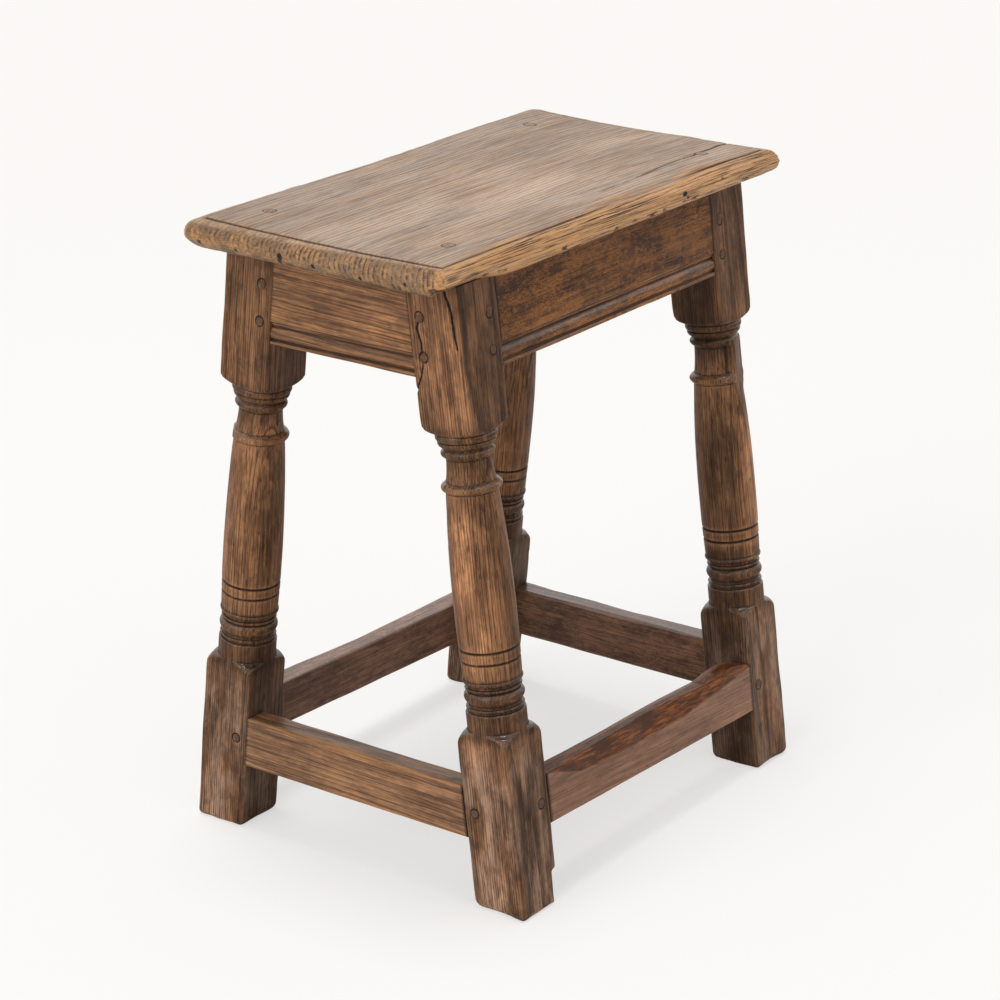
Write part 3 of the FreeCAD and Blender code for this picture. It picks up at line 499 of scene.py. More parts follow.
def turned_profile(drop):
    """Heights along the leg and the radius at each, finely where the turning is fine.

    drop lowers the foot of the turning: no two legs of such a stool were marked alike.
    """
    radii, heights = [TURNING_FOOT[0]], [TURNING_FOOT[1]]
    for radius, height, swell, step in TURNING:
        from_radius, from_height = radii[-1], heights[-1]
        count = max(1, round(math.hypot(radius - from_radius, height - from_height) / step))
        share = np.arange(1, count + 1) / count
        radii += list(from_radius + (radius - from_radius) * share + swell * 4 * share * (1 - share))
        heights += list(from_height + (height - from_height) * share)
    heights = np.array(heights)
    heights = heights - drop * np.interp(heights, DROP_LEVELS, DROP_SHARES)
    low = heights[0]
    below = SOLE_ROWS + list(np.arange(13.5, low - 1, ROW_STEP))
    above = list(np.arange(421.0, LEG_LENGTH, ROW_STEP)) + [LEG_LENGTH]
    heights = np.concatenate([below, heights, above])
    radii = np.array([UNTURNED] * len(below) + radii + [UNTURNED] * len(above))
    blend = np.convolve(np.pad(radii, 1, mode="edge"), (0.15, 0.7, 0.15), "valid")
    radii = np.where((heights > low + 13) & (heights < 414), blend, radii)
    for level in SCORED_LINES:
        apart = np.abs(heights - level + 0.8 * drop)
        radii = radii - SCORE_DEPTH * np.clip(1 - apart / SCORE_HALF_WIDTH, 0, 1)
    return heights, radii


def leg_radius(t, theta, about, radii, turning, shoulder, sole, seed):
    """The square stock, cut back by the lathe, with its sole worn round at its edge."""
    # the arrises are rounded by use, most of all at the ends of the blocks
    ends = fade(t, 0, 70) + ease(t, shoulder - 16, shoulder) * fade(t, 200, 300) + fade(t, 414, 430)
    power = 36 - 18 * np.clip(ends, 0, 1) + 12 * noise(about, (40, 40, 45), seed)
    power = np.clip(power, 9, 60)
    square = HALF / (np.abs(np.cos(theta)) ** power + np.abs(np.sin(theta)) ** power) ** (1 / power)
    lathe = radii[:, None] + 0.2 * turning * noise(about, (26, 26, 60), seed + 5)
    keen = 0.35 + 1.3 * (1 - turning)
    radius = -keen * np.log(np.exp(-square / keen) + np.exp(-np.clip(lathe, 0, UNTURNED) / keen))
    worn = sole * (1 + 0.35 * noise(about, (45, 45, 1000), seed + 11))
    gap = np.clip(worn - t, 0, None)
    return radius - (worn - np.sqrt(np.clip(worn ** 2 - gap ** 2, 0, None))) * 0.85


def make_leg(node, seed, heart, drop=0.0, sole=6.0, flats=(), wane=None, cracks=(), shades=()):
    """One leg, with the foot of its turning lower by drop.

    flats are worn places, wane is a strip that the lathe never reached, cracks run on the
    face looking towards -x, and the last list darkens or lightens one side between two
    heights: mostly painted light and shade, with some patches of the wood's own tone.
    """
    front = "front" in node
    way = -1 if node.endswith("left") else 1
    end = way if front else -way
    shoulder = LOWER_BLOCK - drop
    heights, radii = turned_profile(drop)
    angle = np.arctan(np.tile((np.arange(FACE_STEPS) + 0.5) / FACE_STEPS * 2 - 1, 4))
    angle = angle + np.repeat(np.arange(4), FACE_STEPS) * math.pi / 2
    t, theta = np.meshgrid(heights, angle, indexing="ij")
    about = np.stack([np.cos(theta) * 30, np.sin(theta) * 30, t], axis=-1)
    turning = ease(t, shoulder + 6, shoulder + 9) * fade(t, 411, 413)
    radius = leg_radius(t, theta, about, radii, turning, shoulder, sole, seed)
    missed = 0.0 * t
    if wane:
        low, high, (nx, ny), reach, width = wane
        apart = np.arccos(np.clip(np.cos(theta) * nx + np.sin(theta) * ny, -1, 1))
        flat = reach / np.cos(np.clip(apart, 0, 1.2))
        missed = fade(apart, 0.5 * width, width) * ease(t, low, low + 16) * fade(t, high - 14, high)
        radius = radius + (np.minimum(flat, 24.2) - radius) * missed
    x, y = radius * np.cos(theta), radius * np.sin(theta)
    for low, high, (nx, ny), limit in flats:
        over = np.clip(x * nx + y * ny - limit - 0.15 * noise(about, (5, 5, 4), seed + 2), 0, None)
        over = over * ease(t, low - 2, low) * fade(t, high, high + 4)
        x, y = x - over * nx, y - over * ny
    # sole and top are cut level, though the leg leans
    level = fade(t, 40, 110) + ease(t, 450, 515)
    points = np.stack([x, y, t + y * TANGENT * level], axis=-1)

    # relief of the grain, dents and cracks
    grain = np.stack([x, y, t], axis=-1)
    rings = ring_count(grain, heart, 2.3, 1.8, seed)
    grain = grain + np.array([seed * 61.0, seed * 37.0, seed * 530.0])
    block = np.clip(fade(t, shoulder, shoulder + 7) + ease(t, 411, 418), 0, 1)
    normal = outward(points)
    rise = ring_relief(rings, grain, 0.10 + 0.05 * block, seed)
    rise += rough(grain, seed, (0.08, (2.2, 2.2, 22), 21), (block * 0.35, (17, 17, 34), 23))
    rise -= 0.2 * ease(noise(grain, (3, 3, 12), seed + 31), 0.85, 1.2)
    crack = np.full(t.shape, FAR)
    for path in cracks:
        apart = to_path(np.stack([y, t], axis=-1), path)
        crack = np.where(x < 4 - HALF, nearer(crack, apart), crack)
    crack = crack * (1 - 0.5 * ease(t, 470, 510))
    rise -= 1.3 * np.exp(-crack ** 2)
    points = points + normal * rise[..., None]
    points[..., :2] = np.clip(points[..., :2], -HALF, HALF)

    # rubbed crests and dirty hollows
    wear, dirt = crests(points, normal, 5, 0.3)
    corner = ease(np.hypot(x, y), 33.0, 35.4) * block
    beads = fade(t, 202, 208) * ease(t, shoulder - 2, shoulder + 6) + fade(t, 405, 425) * ease(t, 372, 388)
    wear = np.clip(wear * 0.75 * (1 - block) * (1 - 0.75 * beads) + corner * 0.35, 0, 1)
    wear = wear * (0.5 + 0.5 * noise(grain, (8, 8, 30), seed + 41))
    fine = np.clip(ease(t, shoulder + 3, shoulder + 7) * fade(t, 416, 422), 0, 1)
    dirt = np.clip(dirt * (0.3 + 1.5 * fine), 0, 1) * (1 - 0.9 * missed)
    # inner faces are darker: they keep their old dark skin, and painted shade stands in for the seat's shadow
    # on them
    inner = np.clip(np.maximum(y, -end * x) / HALF, 0, 1)
    tone = -0.75 * ease(inner, 0.55, 0.95) * (0.4 + 0.6 * block)
    tone += 0.3 * noise(grain, (26, 26, 60), seed + 51)
    tone -= 0.85 * beads
    soft = 0.175 - 0.12 * block
    ragged = 0.8 + 0.4 * noise(grain, (12, 12, 25), seed + 61)
    # painted light and shade: each entry lightens or darkens one side, most for how the light falls on it,
    # some as patches of tone
    for low, high, (nx, ny), strength in shades:
        facing = ease((x * nx + y * ny) / np.hypot(x, y), 0.72 - soft, 0.72 + soft)
        tone += strength * facing * ragged * between(t, low, high, 12)
    # distance to the pegs in the two outer faces
    peg = np.full(t.shape, FAR)
    for side, depth, apart in (("front" if front else "back", y, x + end * PEG_LINE),
                               ("left" if way < 0 else "right", -end * x, y - PEG_LINE)):
        for height in RAIL_PEGS + [stretcher_peg(side, end)]:
            peg = np.where(depth < 3 - HALF, np.minimum(peg, np.hypot(apart, t - height)), peg)
    # board marks the feet, where the painted sheen may lie
    layers = {"grain": grain, "rings": rings, "wear": wear, "dirt": dirt, "tone": tone, "peg": peg,
              "crack": crack, "across": 0.0, "board": fade(t, 120, 165)}
    placed = leaning(points) if front else turned(leaning(points), 2)
    add_tube(node, moved(placed, x=way * AXIS_X), layers, LEG_WOOD)


# Rails and stretchers
def plank(node, section, reach_at, stations, place, seed, heart, pitch, slope, depth, material,
          shape=None, tone=0.0, bead=0.0, shades=(), bared=None):
    """A rail or stretcher: its section carried along, worn, and set in place.

    section is a closed path of (y, z), and reach_at(z) is the half length at that height.
    shape(points) wears it, and place(points) sets it in the stool. bared is how far down
    the outer face feet have bared the wood, at places along it.
    """
    share = np.linspace(-1, 1, stations)
    x = share[:, None] * reach_at(section[None, :, 1])
    y = np.repeat(section[None, :, 0], stations, axis=0)
    z = np.repeat(section[None, :, 1], stations, axis=0)
    outer, inner, foot = section[:, 0].min(), section[:, 0].max(), z.min()
    square = np.stack([x, y, z], axis=-1)
    points = shape(square) if shape else square
    cut = np.linalg.norm(points - square, axis=-1)
    highest = max(z.max(), points[..., 2].max())
    normal = outward(points)
    grain = np.stack([points[..., 2] + slope * points[..., 0], points[..., 1], points[..., 0]], axis=-1)
    rings = ring_count(grain, heart, pitch, pitch * 0.6, seed)
    grain = grain + np.array([seed * 47.0, seed * 71.0, seed * 590.0])
    rise = ring_relief(rings, grain, depth, seed)
    rise += rough(grain, seed, (0.08, (2.0, 2.0, 20), 21), (0.22, (15, 15, 40), 23))
    points = points + normal * rise[..., None]
    points[..., 1] = np.clip(points[..., 1], outer, inner)
    points[..., 2] = np.clip(points[..., 2], foot, highest)

    wear, dirt = crests(points, normal, 5, 0.3)
    wear = wear * (0.5 + 0.5 * noise(grain, (8, 8, 30), seed + 41))
    wear = np.clip(np.maximum(wear * 0.8, ease(cut, 0.15, 0.7) * 0.75), 0, 1)
    if bared:
        ragged = 0.5 * noise(grain, (3, 3, 14), seed + 71, 2)
        reach = np.interp(points[..., 0], *np.transpose(bared)) + ragged
        down = z.max() - points[..., 2]
        kept = ease(points[..., 1], inner - 6.0, inner - 4.5) + ease(down, reach - 0.4, reach + 0.5)
        wear = 1 - np.clip(kept, 0, 1)
    ends = ease(np.abs(points[..., 0]) / (np.abs(x).max(axis=0)[None, :]), 0.978, 0.995)
    dirt = np.clip(dirt + 0.9 * ends, 0, 1)
    tone += 0.25 * noise(grain, (30, 30, 70), seed + 51)
    # the inner face darker, as on the legs: old dark skin, and painted shade inside the stool
    tone += bead * fade(z, foot + 19, foot + 21) - 0.4 * ease(points[..., 1], inner - 2, inner - 0.3)
    # bands of painted light and shade along the piece, such as the seat's painted shadow on the front rail
    for low, high, (bottom, top), strength in shades:
        tone += strength * between(x, low, high, 12) * between(z, bottom, top, 4)
    layers = {"grain": grain, "rings": rings, "wear": wear, "dirt": dirt, "tone": tone, "peg": FAR,
              "crack": FAR, "across": 0.0}
    add_tube(node, place(points), layers, material)


def rounded(path, step, times):
    """A closed path with a point at least every step, and its corners smoothed a little."""
    points = []
    for start, end in zip(path, path[1:] + path[:1]):
        start, run = np.array(start, float), np.subtract(end, start)
        count = max(1, round(np.hypot(*run) / step))
        points += [start + run * k / count for k in range(count)]
    points = np.array(points)
    for _ in range(times):
        points = (np.roll(points, 1, axis=0) + np.roll(points, -1, axis=0) + 2 * points) / 4
    return points


def rail_section(low, high, lean):
    """The section of a rail with its run moulding; lean slopes its upper edge."""
    outer, inner = -HALF + 0.5, -HALF + RAIL_THICKNESS
    bead = [(outer + 2.7 - 2.5 * math.sin(k / 8 * math.pi), low + 4.6 + 9.6 * k / 8) for k in range(9)]
    path = [(inner, low), (outer + 0.5, low), (outer + 0.4, low + 2.9), (outer + 2.4, low + 3.3),
            (outer + 3.0, low + 4.2)] + bead + [
            (outer + 3.6, low + 14.8), (outer + 3.2, low + 16.2), (outer + 2.0, low + 17.6),
            (outer + 1.6, low + 19.4), (outer, low + 19.9), (outer, high + outer * lean),
            (inner, high + inner * lean)]
    return rounded(path, 0.7, 1)


def stretcher_section(side):
    """A plain oblong; the front one keeps sharper edges, since feet wear it later."""
    outer, inner, depth = -HALF, -HALF + STRETCHER_THICKNESS, DEPTHS[side]
    path = [(inner, 0.0), (outer, 0.0), (outer, depth), (inner, depth)]
    return rounded(path, 0.9, 1 if side == "front" else 3)


def reach_between_legs(side, base=0.0):
    """Gives how far a rail or stretcher runs either way, at each height above base."""
    if side in LONG_SIDES:
        return lambda z: np.full_like(z, LONG_SHOULDER + OVERLAP)
    return lambda z: AXIS_Y - HALF / COSINE - (z + base) * TANGENT + OVERLAP


def make_rail(side, *wood, **more):
    """wood is the seed, the tree's heart, the pitch and slope of its rings, their depth and the material."""
    if side in LONG_SIDES:
        section, stations = rail_section(LEG_LENGTH - LONG_RAIL_DEPTH, LEG_LENGTH, TANGENT), 190
    else:
        section, stations = rail_section(LEG_TOP - SHORT_RAIL_DEPTH, LEG_TOP, 0.0), 120
    plank("rail_" + side, section, reach_between_legs(side), stations, PLACES[side], *wood, **more)


def make_stretcher(side, *wood, **more):
    """wood is as for a rail."""
    left, right = LIFTS[side]

    def place(points):
        lifted = points.copy()
        lifted[..., 2] += left + (right - left) * (points[..., 0] / (2 * LONG_SHOULDER) + 0.5)
        return PLACES[side](lifted)

    reach_at = reach_between_legs(side, left)
    plank("stretcher_" + side, stretcher_section(side), reach_at, 170, place, *wood, **more)


def worn_arris(points, depth, lie=0.66, outer=True, seed=1, start=-0.1, crest=0.5, end=1.1):
    """The upper arris worn down by feet, most of all at crest, a share of the way along.

    lie is how much the worn face looks sideways; depth is how much it takes off, square to it.
    """
    length = np.abs(points[..., 0]).max()
    share = (points[..., 0] / length + 1) / 2
    dip = ease(share, start, crest) * (1 - ease(share, crest, end))
    dip = dip ** 0.6 * depth * (1 + 0.12 * noise(points, (40, 1e3, 1e3), seed))
    side = -1 if outer else 1
    corner = -HALF if outer else -HALF + STRETCHER_THICKNESS
    normal = np.array([0.0, side * lie, math.sqrt(1 - lie * lie)])
    reach = normal[1] * corner + normal[2] * points[..., 2].max()
    over = np.clip(points @ normal - (reach - dip), 0, None)
    return points - over[..., None] * normal


def heaped(points, heights):
    """The upper edge raised by heights, at places along the piece."""
    upper = ease(points[..., 2], points[..., 2].max() - 14, points[..., 2].max())
    raised = points.copy()
    raised[..., 2] += upper * np.interp(points[..., 0], *np.transpose(heights))
    return raised


# How high the unworn end of the front stretcher still stands, and how far down its
# outer face feet have bared the wood, at places along it
UNWORN_END = [(-60, 0), (-10, 1.0), (40, 1.7), (80, 1.2), (92, 0.9), (111, 3.8), (130, 5.6), (142, 3.6),
              (156, 0.6)]
FOOT_BARED = [(-160, 0.6), (-151, 0.8), (-128, 7.5), (-108, 13.2), (-85, 15.2), (-57, 15.9), (-4, 15.9),
              (46, 14.2), (92, 9.8), (124, 5.7), (154, 1.6)]


def foot_hollow(points):
    """The front stretcher's hollow, worn by feet up to its unworn end."""
    hollow = worn_arris(points, 7.4, 0.894, seed=5, start=0.0, crest=0.42, end=1.08)
    return heaped(worn_arris(hollow, 0.4, outer=False, seed=4), UNWORN_END)


def both_arrises(outer_depth, outer_seed, inner_depth, inner_seed):
    """Gives the wear of a stretcher whose two upper arrises feet have rounded."""
    return lambda points: worn_arris(worn_arris(points, outer_depth, seed=outer_seed), inner_depth,
                                     outer=False, seed=inner_seed)


# Seat
# How far in the scratched line runs, at the two ends of each edge
SEAT_LINES = {"left": (10.5, 19.0), "right": (17.0, 15.0), "front": (8.0, 11.5), "back": (12.0, 12.0)}
SEAT_CORNERS = {(-1, -1): 7.0, (1, -1): 8.0, (1, 1): 14.0, (-1, 1): 13.0}
# How far past the line the grid of the top ends
TOP_INSET = 8
# Rings of the edge that lie in the line, and how dirty each is
LINE_RINGS, LINE_DIRT = slice(4, 9), np.array([0.5, 0.95, 1.0, 0.95, 0.5])
TOP_AXIS_Y = AXIS_Y - LEG_TOP * TANGENT
SEAT_PEGS = [(x * AXIS_X, y * TOP_AXIS_Y) for x in (-1, 1) for y in (-1, 1)]
# The crack from the right end, through the near right peg
SEAT_CRACK = [(246, -84), (219, -84.7), (203, -86.8), (186, -87.4), (171, -90.5), (151, -89.6), (133, -91.1),
              (117, -91.7), (99, -93.2), (84, -93.8), (51, -95.9), (20, -97.0)]
# Worm holes and knocks: place and size
SEAT_HOLES = [(-244, 113, 9, 1.5), (-244, 74.5, 8, 1.2), (-244, 27.5, 11, 2.7), (-244, 29.5, 6, 1.8),
              (-244, -6, 8, 1.9), (-244, -53, 6, 1.4), (-244, -98.5, 9, 1.5), (-190, -134, 7, 1.4),
              (60, -133, 12, 1.8), (92, -134, 13, 1.8), (96, -134, 9, 1.3), (150, -133, 14, 1.6)]


def spread(low, high, place):
    """From low at place -1 to high at place 1."""
    return low + (high - low) * (place + 1) / 2


def corner_spread(places, near_left, near_right, far_left, far_right):
    """A value spread over the seat from its four corners."""
    bx, by = np.moveaxis(places, -1, 0)
    return spread(spread(near_left, far_left, by), spread(near_right, far_right, by), bx)


def lay(places, away):
    """x and y over the seat for places from -1 to 1 both ways, set in from each edge by away(line)."""
    bx, by = np.moveaxis(places, -1, 0)
    left, right = (away(spread(*SEAT_LINES[side], by)) for side in ("left", "right"))
    front, back = (away(spread(*SEAT_LINES[side], bx)) for side in ("front", "back"))
    return spread(left - END_X, END_X - right, bx), spread(front - EDGE_Y, EDGE_Y - back, by)


def seat_drop(x, y):
    """How far the top has sunk: cupped, sagged at two edges, rubbed in front and at the near right."""
    dish = 2.2 * (1 - (y / EDGE_Y) ** 2) * (0.5 + 0.5 * (x / END_X) ** 2)
    back = 2.3 * np.exp(-((x + 8) / 115) ** 2) * ease(y, 30, EDGE_Y)
    right = 2.6 * np.exp(-((y - 45) / 75) ** 2) * ease(x, 130, END_X)
    rubbed = 2.4 * fade(y, -EDGE_Y, 30 - EDGE_Y) * np.exp(-((x - 55) / 105) ** 2)
    corner = 3.6 * ease(x, 120, END_X) * fade(y, -EDGE_Y, 40)
    return dish + back + right + rubbed + corner


def seat_profile(border, faded):
    """The edge from the top round to the underside: how far in each ring lies, and how high."""
    nose = corner_spread(border, 9.5, 10.5, 14.5, 11.0)
    under = corner_spread(border, 9.0, 9.0, 19.0, 9.0)
    cut = 1.3 * (1 - 0.85 * faded)
    flat = 0 * nose
    profile = []
    for past, drop in ((TOP_INSET, 0), (5.5, 0.1), (3.6, 0.25), (2.2, 0.35), (1.3, 0.5)):
        profile.append((lambda line, past=past: line + past, SEAT_THICKNESS - drop + flat))
    for past, share in ((0.7, 0.6), (0.0, 1.0), (-0.7, 0.75), (-1.2, 0.2)):
        profile.append((lambda line, past=past: line + past, 24.4 - cut * share))
    for a in np.linspace(0.18, math.pi / 2, 15):
        level = nose + (24.3 - nose) * math.cos(a)
        profile.append((lambda line, a=a: (line - 1.0) * (1 - math.sin(a)), level))
    for a in np.linspace(0.14, math.pi / 2, 10):
        profile.append((lambda line, a=a: under * (1 - math.cos(a)), nose * (1 - math.sin(a))))
    for past in (3.0, 10.0, 25.0, 50.0, 90.0):
        profile.append((lambda line, past=past: under + past, flat))
    return profile


def seat_rings(border, faded):
    """Rings of points round the moulded edge, with its corners rounded."""
    rings = []
    for away, level in seat_profile(border, faded):
        flat = np.column_stack(lay(border, away))
        for (sx, sy), size in SEAT_CORNERS.items():
            corner = flat[np.argmax(border[:, 0] * sx + border[:, 1] * sy)]
            size = size - abs(abs(corner[0]) - END_X) * 0.5
            if size <= 0:
                continue
            centre = corner - np.array([sx, sy]) * size
            offset = flat - centre
            beyond = (offset[:, 0] * sx > 0) & (offset[:, 1] * sy > 0)
            length = np.linalg.norm(offset, axis=1, keepdims=True) + 1e-9
            flat = np.where(beyond[:, None], centre + offset / length * size, flat)
        rings.append(np.column_stack([flat, level]))
    return np.array(rings)


def weather(points, normals):
    """Wear and relief at any points of the seat, and what its layers are made from."""
    x, y, z = np.moveaxis(points, -1, 0)
    across, side = (ease(np.abs(normals[..., k]), 0.25, 0.6) for k in (0, 1))
    grain = np.stack([y, z, x], axis=-1)
    count = ring_count(grain, (430.0, -50.0), 4.7, 4.0, 3)
    rise = ring_relief(count, grain, 1.0, 3) * (0.2 + 0.42 * across)
    rise += rough(grain, 0, (0.10, (1.8, 1.8, 26), 23), (side * 0.5, (1.5, 1.5, 26), 33),
                  (0.25, (22, 22, 60), 29), ((across + 0.6 * side) * 0.3, (7, 6, 10), 31),
                  (across * 0.25, (2.4, 3.4, 6), 35))
    peg = np.full(x.shape, FAR)
    for px, py in SEAT_PEGS:
        peg = np.minimum(peg, np.hypot(x - px, y - py) - SEAT_PEG_RADIUS + PEG_RADIUS)
    peg = np.where(z > 20, peg, FAR)
    rise = rise * ease(peg, 4.0, 8.0)
    worn = points + normals * rise[..., None]
    worn[..., 2] -= np.clip(z / SEAT_THICKNESS, 0, 1) ** 1.5 * seat_drop(x, y)
    # the near corner has lost its lower edge
    broken = fade(x, -205, -150) * fade(y, -127, -118) * fade(z, 6, 12)
    worn[..., 2] += 7.0 * broken * (1 - z / 14)
    crack = to_path(np.stack([x, y], axis=-1), SEAT_CRACK)
    crack = crack * (0.6 + 3.4 * fade(x, -20, 110) + 0.4 * fade(x, 120, 170))
    crack = np.where(z > 6, crack, FAR)
    worn[..., 2] -= 1.0 * np.exp(-(crack / 0.9) ** 2) * (z > 20)
    holes = np.full(x.shape, FAR)
    for hx, hy, hz, size in SEAT_HOLES:
        distance = np.sqrt(((x - hx) * 0.5) ** 2 + (y - hy) ** 2 + ((z - hz) * 0.75) ** 2)
        holes = np.minimum(holes, distance - size + 0.7)
        worn -= normals * (1.3 * np.exp(-(distance / size) ** 2))[..., None]
    chips = ease(noise(points, (9, 9, 6), 57), 0.45, 0.95) * fade(z, 4, 10)
    worn -= normals * (1.7 * chips * np.clip(0.4 * across + side, 0, 1))[..., None]
    return worn, {"grain": grain, "rings": count, "crack": crack, "hole": holes, "peg": peg, "across": across,
                  "side": side, "spots": points}


def seat_layers(layers):
    """The layers that the seat's wood reads, from what weather and the edge have left."""
    spots, side, line = (layers.pop(key) for key in ("spots", "side", "line"))
    grain, across = layers["grain"], layers["across"]
    x, y, z = spots.T
    wear = layers["wear"] * 0.5
    wear = wear + (0.85 * side + 0.15 * across * ease(z, 6, 15)) * ease(z, 1, 7)
    wear = wear * (0.75 + 0.35 * noise(grain, (7, 7, 22), 61))
    # bare wood along the front edge, torn back along the grain
    inward = EDGE_Y + y - 13 * noise(grain, (6, 6, 75), 63, 3) - 5 * noise(grain, (2, 2, 30), 67)
    near_front = fade(inward, 7, 15 + 9 * np.exp(-((x - 60) / 110) ** 2))
    layers["wear"] = np.clip(np.maximum(wear, 0.8 * near_front), 0, 1)
    # below marks the underside and the lowest few millimetres of the edge, which the dirt and tone layers
    # make darker
    below = fade(z, 0.5, 4.5)
    layers["dirt"] = np.maximum(np.clip(layers["dirt"] * (1.2 + 0.6 * across) + 0.4 * below, 0, 1), line)
    end_grain = 1.35 + 0.35 * fade(z, 4, 14) + 0.45 * ease(y, 50, 110) - 0.2 * noise(grain, (16, 9, 9), 73)
    tone = 0.3 * noise(grain, (45, 45, 150), 71, 2) - 0.5 * below + 0.75 * side * ease(z, 4, 12)
    tone -= across * end_grain + 0.2 * np.exp(-((y - 75) / 45) ** 2) * ease(x, -160, -60)
    tone += 0.16 * np.exp(-((x - 10) / 80) ** 2 - ((y + 15) / 40) ** 2)
    tone += 0.2 * np.exp(-((x + 165) / 60) ** 2 - ((y + 80) / 45) ** 2)
    layers["tone"] = tone
    # board marks the top, where the painted sheen may lie
    layers["board"] = ease(z, 22, 24.6) * (1 - side) * (1 - across)
    return layers


def joined(on_top, on_edge):
    """Values of the top's grid, then those of the edge; the first ring is the grid's own border."""
    shape = (-1, 3) if on_top.ndim == 3 else (-1,)
    return np.concatenate([on_top.reshape(shape), on_edge[1:].reshape(shape)])


def seat_faces(top, rings):
    """Faces of the top's grid, of the rings round it, and of the underside."""
    grid = np.arange(top[..., 0].size).reshape(top.shape[:2])
    border = np.concatenate([grid[:-1, 0], grid[-1, :-1], grid[:0:-1, -1], grid[0, :0:-1]])
    others = grid.size + np.arange((len(rings) - 1) * len(border)).reshape(-1, len(border))
    loops = np.vstack([border[None], others])
    after = np.roll(loops, -1, axis=1)
    across = np.stack([grid[:-1, :-1], grid[1:, :-1], grid[1:, 1:], grid[:-1, 1:]], axis=-1)
    around = np.stack([loops[:-1], loops[1:], after[1:], after[:-1]], axis=-1)
    return across.reshape(-1, 4).tolist() + around.reshape(-1, 4).tolist() + [loops[-1][::-1].tolist()]


def make_seat():
    """The seat: a fine grid across the top, and rings of points round its moulded edge."""
    columns_x, columns_y = np.linspace(-1, 1, 330), np.linspace(-1, 1, 210)
    border = [(s, -1.0) for s in columns_x[:-1]] + [(1.0, s) for s in columns_y[:-1]]
    border += [(s, 1.0) for s in columns_x[:0:-1]] + [(-1.0, s) for s in columns_y[:0:-1]]
    border = np.array(border)
    # the line is rubbed away along part of the front, at the right end and at the back
    faded = np.exp(-((border[:, 0] * END_X - 50) / 75) ** 6) * (border[:, 1] == -1)
    faded = np.maximum(faded, (border[:, 0] > 0.999) | (border[:, 1] > 0.999))
    rings = seat_rings(border, faded)
    grid = np.stack(np.meshgrid(columns_x, columns_y, indexing="ij"), axis=-1)
    x, y = lay(grid, lambda line: line + TOP_INSET)
    top = np.stack([x, y, np.full_like(x, SEAT_THICKNESS)], axis=-1)
    normal = outward(rings)
    normal[0] = (0, 0, 1)
    top_points, on_top = weather(top, np.broadcast_to((0.0, 0.0, 1.0), top.shape))
    edge_points, on_edge = weather(rings, normal)
    on_edge["wear"], on_edge["dirt"] = crests(edge_points, normal, 4, 0.4)
    on_edge["line"] = np.zeros(rings.shape[:2])
    on_edge["line"][LINE_RINGS] = LINE_DIRT[:, None] * (1 - 0.9 * faded)
    for key in ("wear", "dirt", "line"):
        on_top[key] = np.zeros(top.shape[:2])
    layers = seat_layers({key: joined(on_top[key], on_edge[key]) for key in on_top})
    vertices = joined(top_points, edge_points)
    vertices[:, 2] = np.clip(vertices[:, 2], 0, SEAT_THICKNESS)
    vertices = inside(moved(vertices, z=LEG_TOP), "seat_board")
    add_piece("seat_board", vertices, seat_faces(top, rings), layers, SEAT_WOOD)


# Pegs
# A peg's shank and worn head: height above the wood, and share of the radius
PEG_ROWS = [(-3.0, 1.0), (-0.2, 1.0), (0.25, 0.94), (0.5, 0.75), (0.62, 0.45), (0.66, 0.15)]
PEG_COLUMNS = 20
# board lets the painted sheen lie over a whole seat peg head
PEG_LAYERS = {"rings": 0.0, "wear": 0.12, "dirt": 0.1, "tone": 0.0, "peg": FAR, "crack": FAR, "across": 1.0,
              "board": 1.0, "hole": FAR}


def make_pegs(node, spots, radius, material):
    """Worn peg heads with short shanks; each spot is (centre, outward direction)."""
    vertices, faces, grain = [], [], []
    for number, (centre, out) in enumerate(spots):
        out = Vector(out).normalized()
        side = out.orthogonal().normalized()
        other = out.cross(side)
        base = len(vertices)
        for lift, share in PEG_ROWS:
            for k in range(PEG_COLUMNS):
                a = k / PEG_COLUMNS * 2 * math.pi
                reach = radius * share * (0.95 + 0.05 * math.cos(a * (4 + number % 3) + number))
                spot = Vector(centre) + out * lift + (side * math.cos(a) + other * math.sin(a)) * reach
                vertices.append(tuple(spot))
                grain.append((math.cos(a) * reach + number * 31, math.sin(a) * reach, lift + number * 17))
        loops = [[base + row * PEG_COLUMNS + k for k in range(PEG_COLUMNS)] for row in range(len(PEG_ROWS))]
        for low, high in zip(loops[:-1], loops[1:]):
            faces += [[low[k - 1], low[k], high[k], high[k - 1]] for k in range(PEG_COLUMNS)]
        faces += [loops[-1], loops[0][::-1]]
    layers = {"grain": np.array(grain), **PEG_LAYERS}
    add_piece(node, np.array(vertices), faces, layers, material, flat_ends=False)


def peg_spots(side, kind):
    """Centre and outward direction of each peg on one side of the stool."""
    spots = []
    for end in (-1, 1):
        for level in RAIL_PEGS if kind == "rail" else [stretcher_peg(side, end)]:
            if side in LONG_SIDES:
                local = np.array([end * (LONG_SHOULDER + PEG_INSET), -HALF, level])
            else:
                local = np.array([end * (AXIS_Y - PEG_LINE * COSINE - level * SINE), -HALF,
                                  level * COSINE - PEG_LINE * SINE])
            spot, above = PLACES[side](np.array([local, local + (0, -1, 0)]))
            spots.append((spot, above - spot))
    return spots


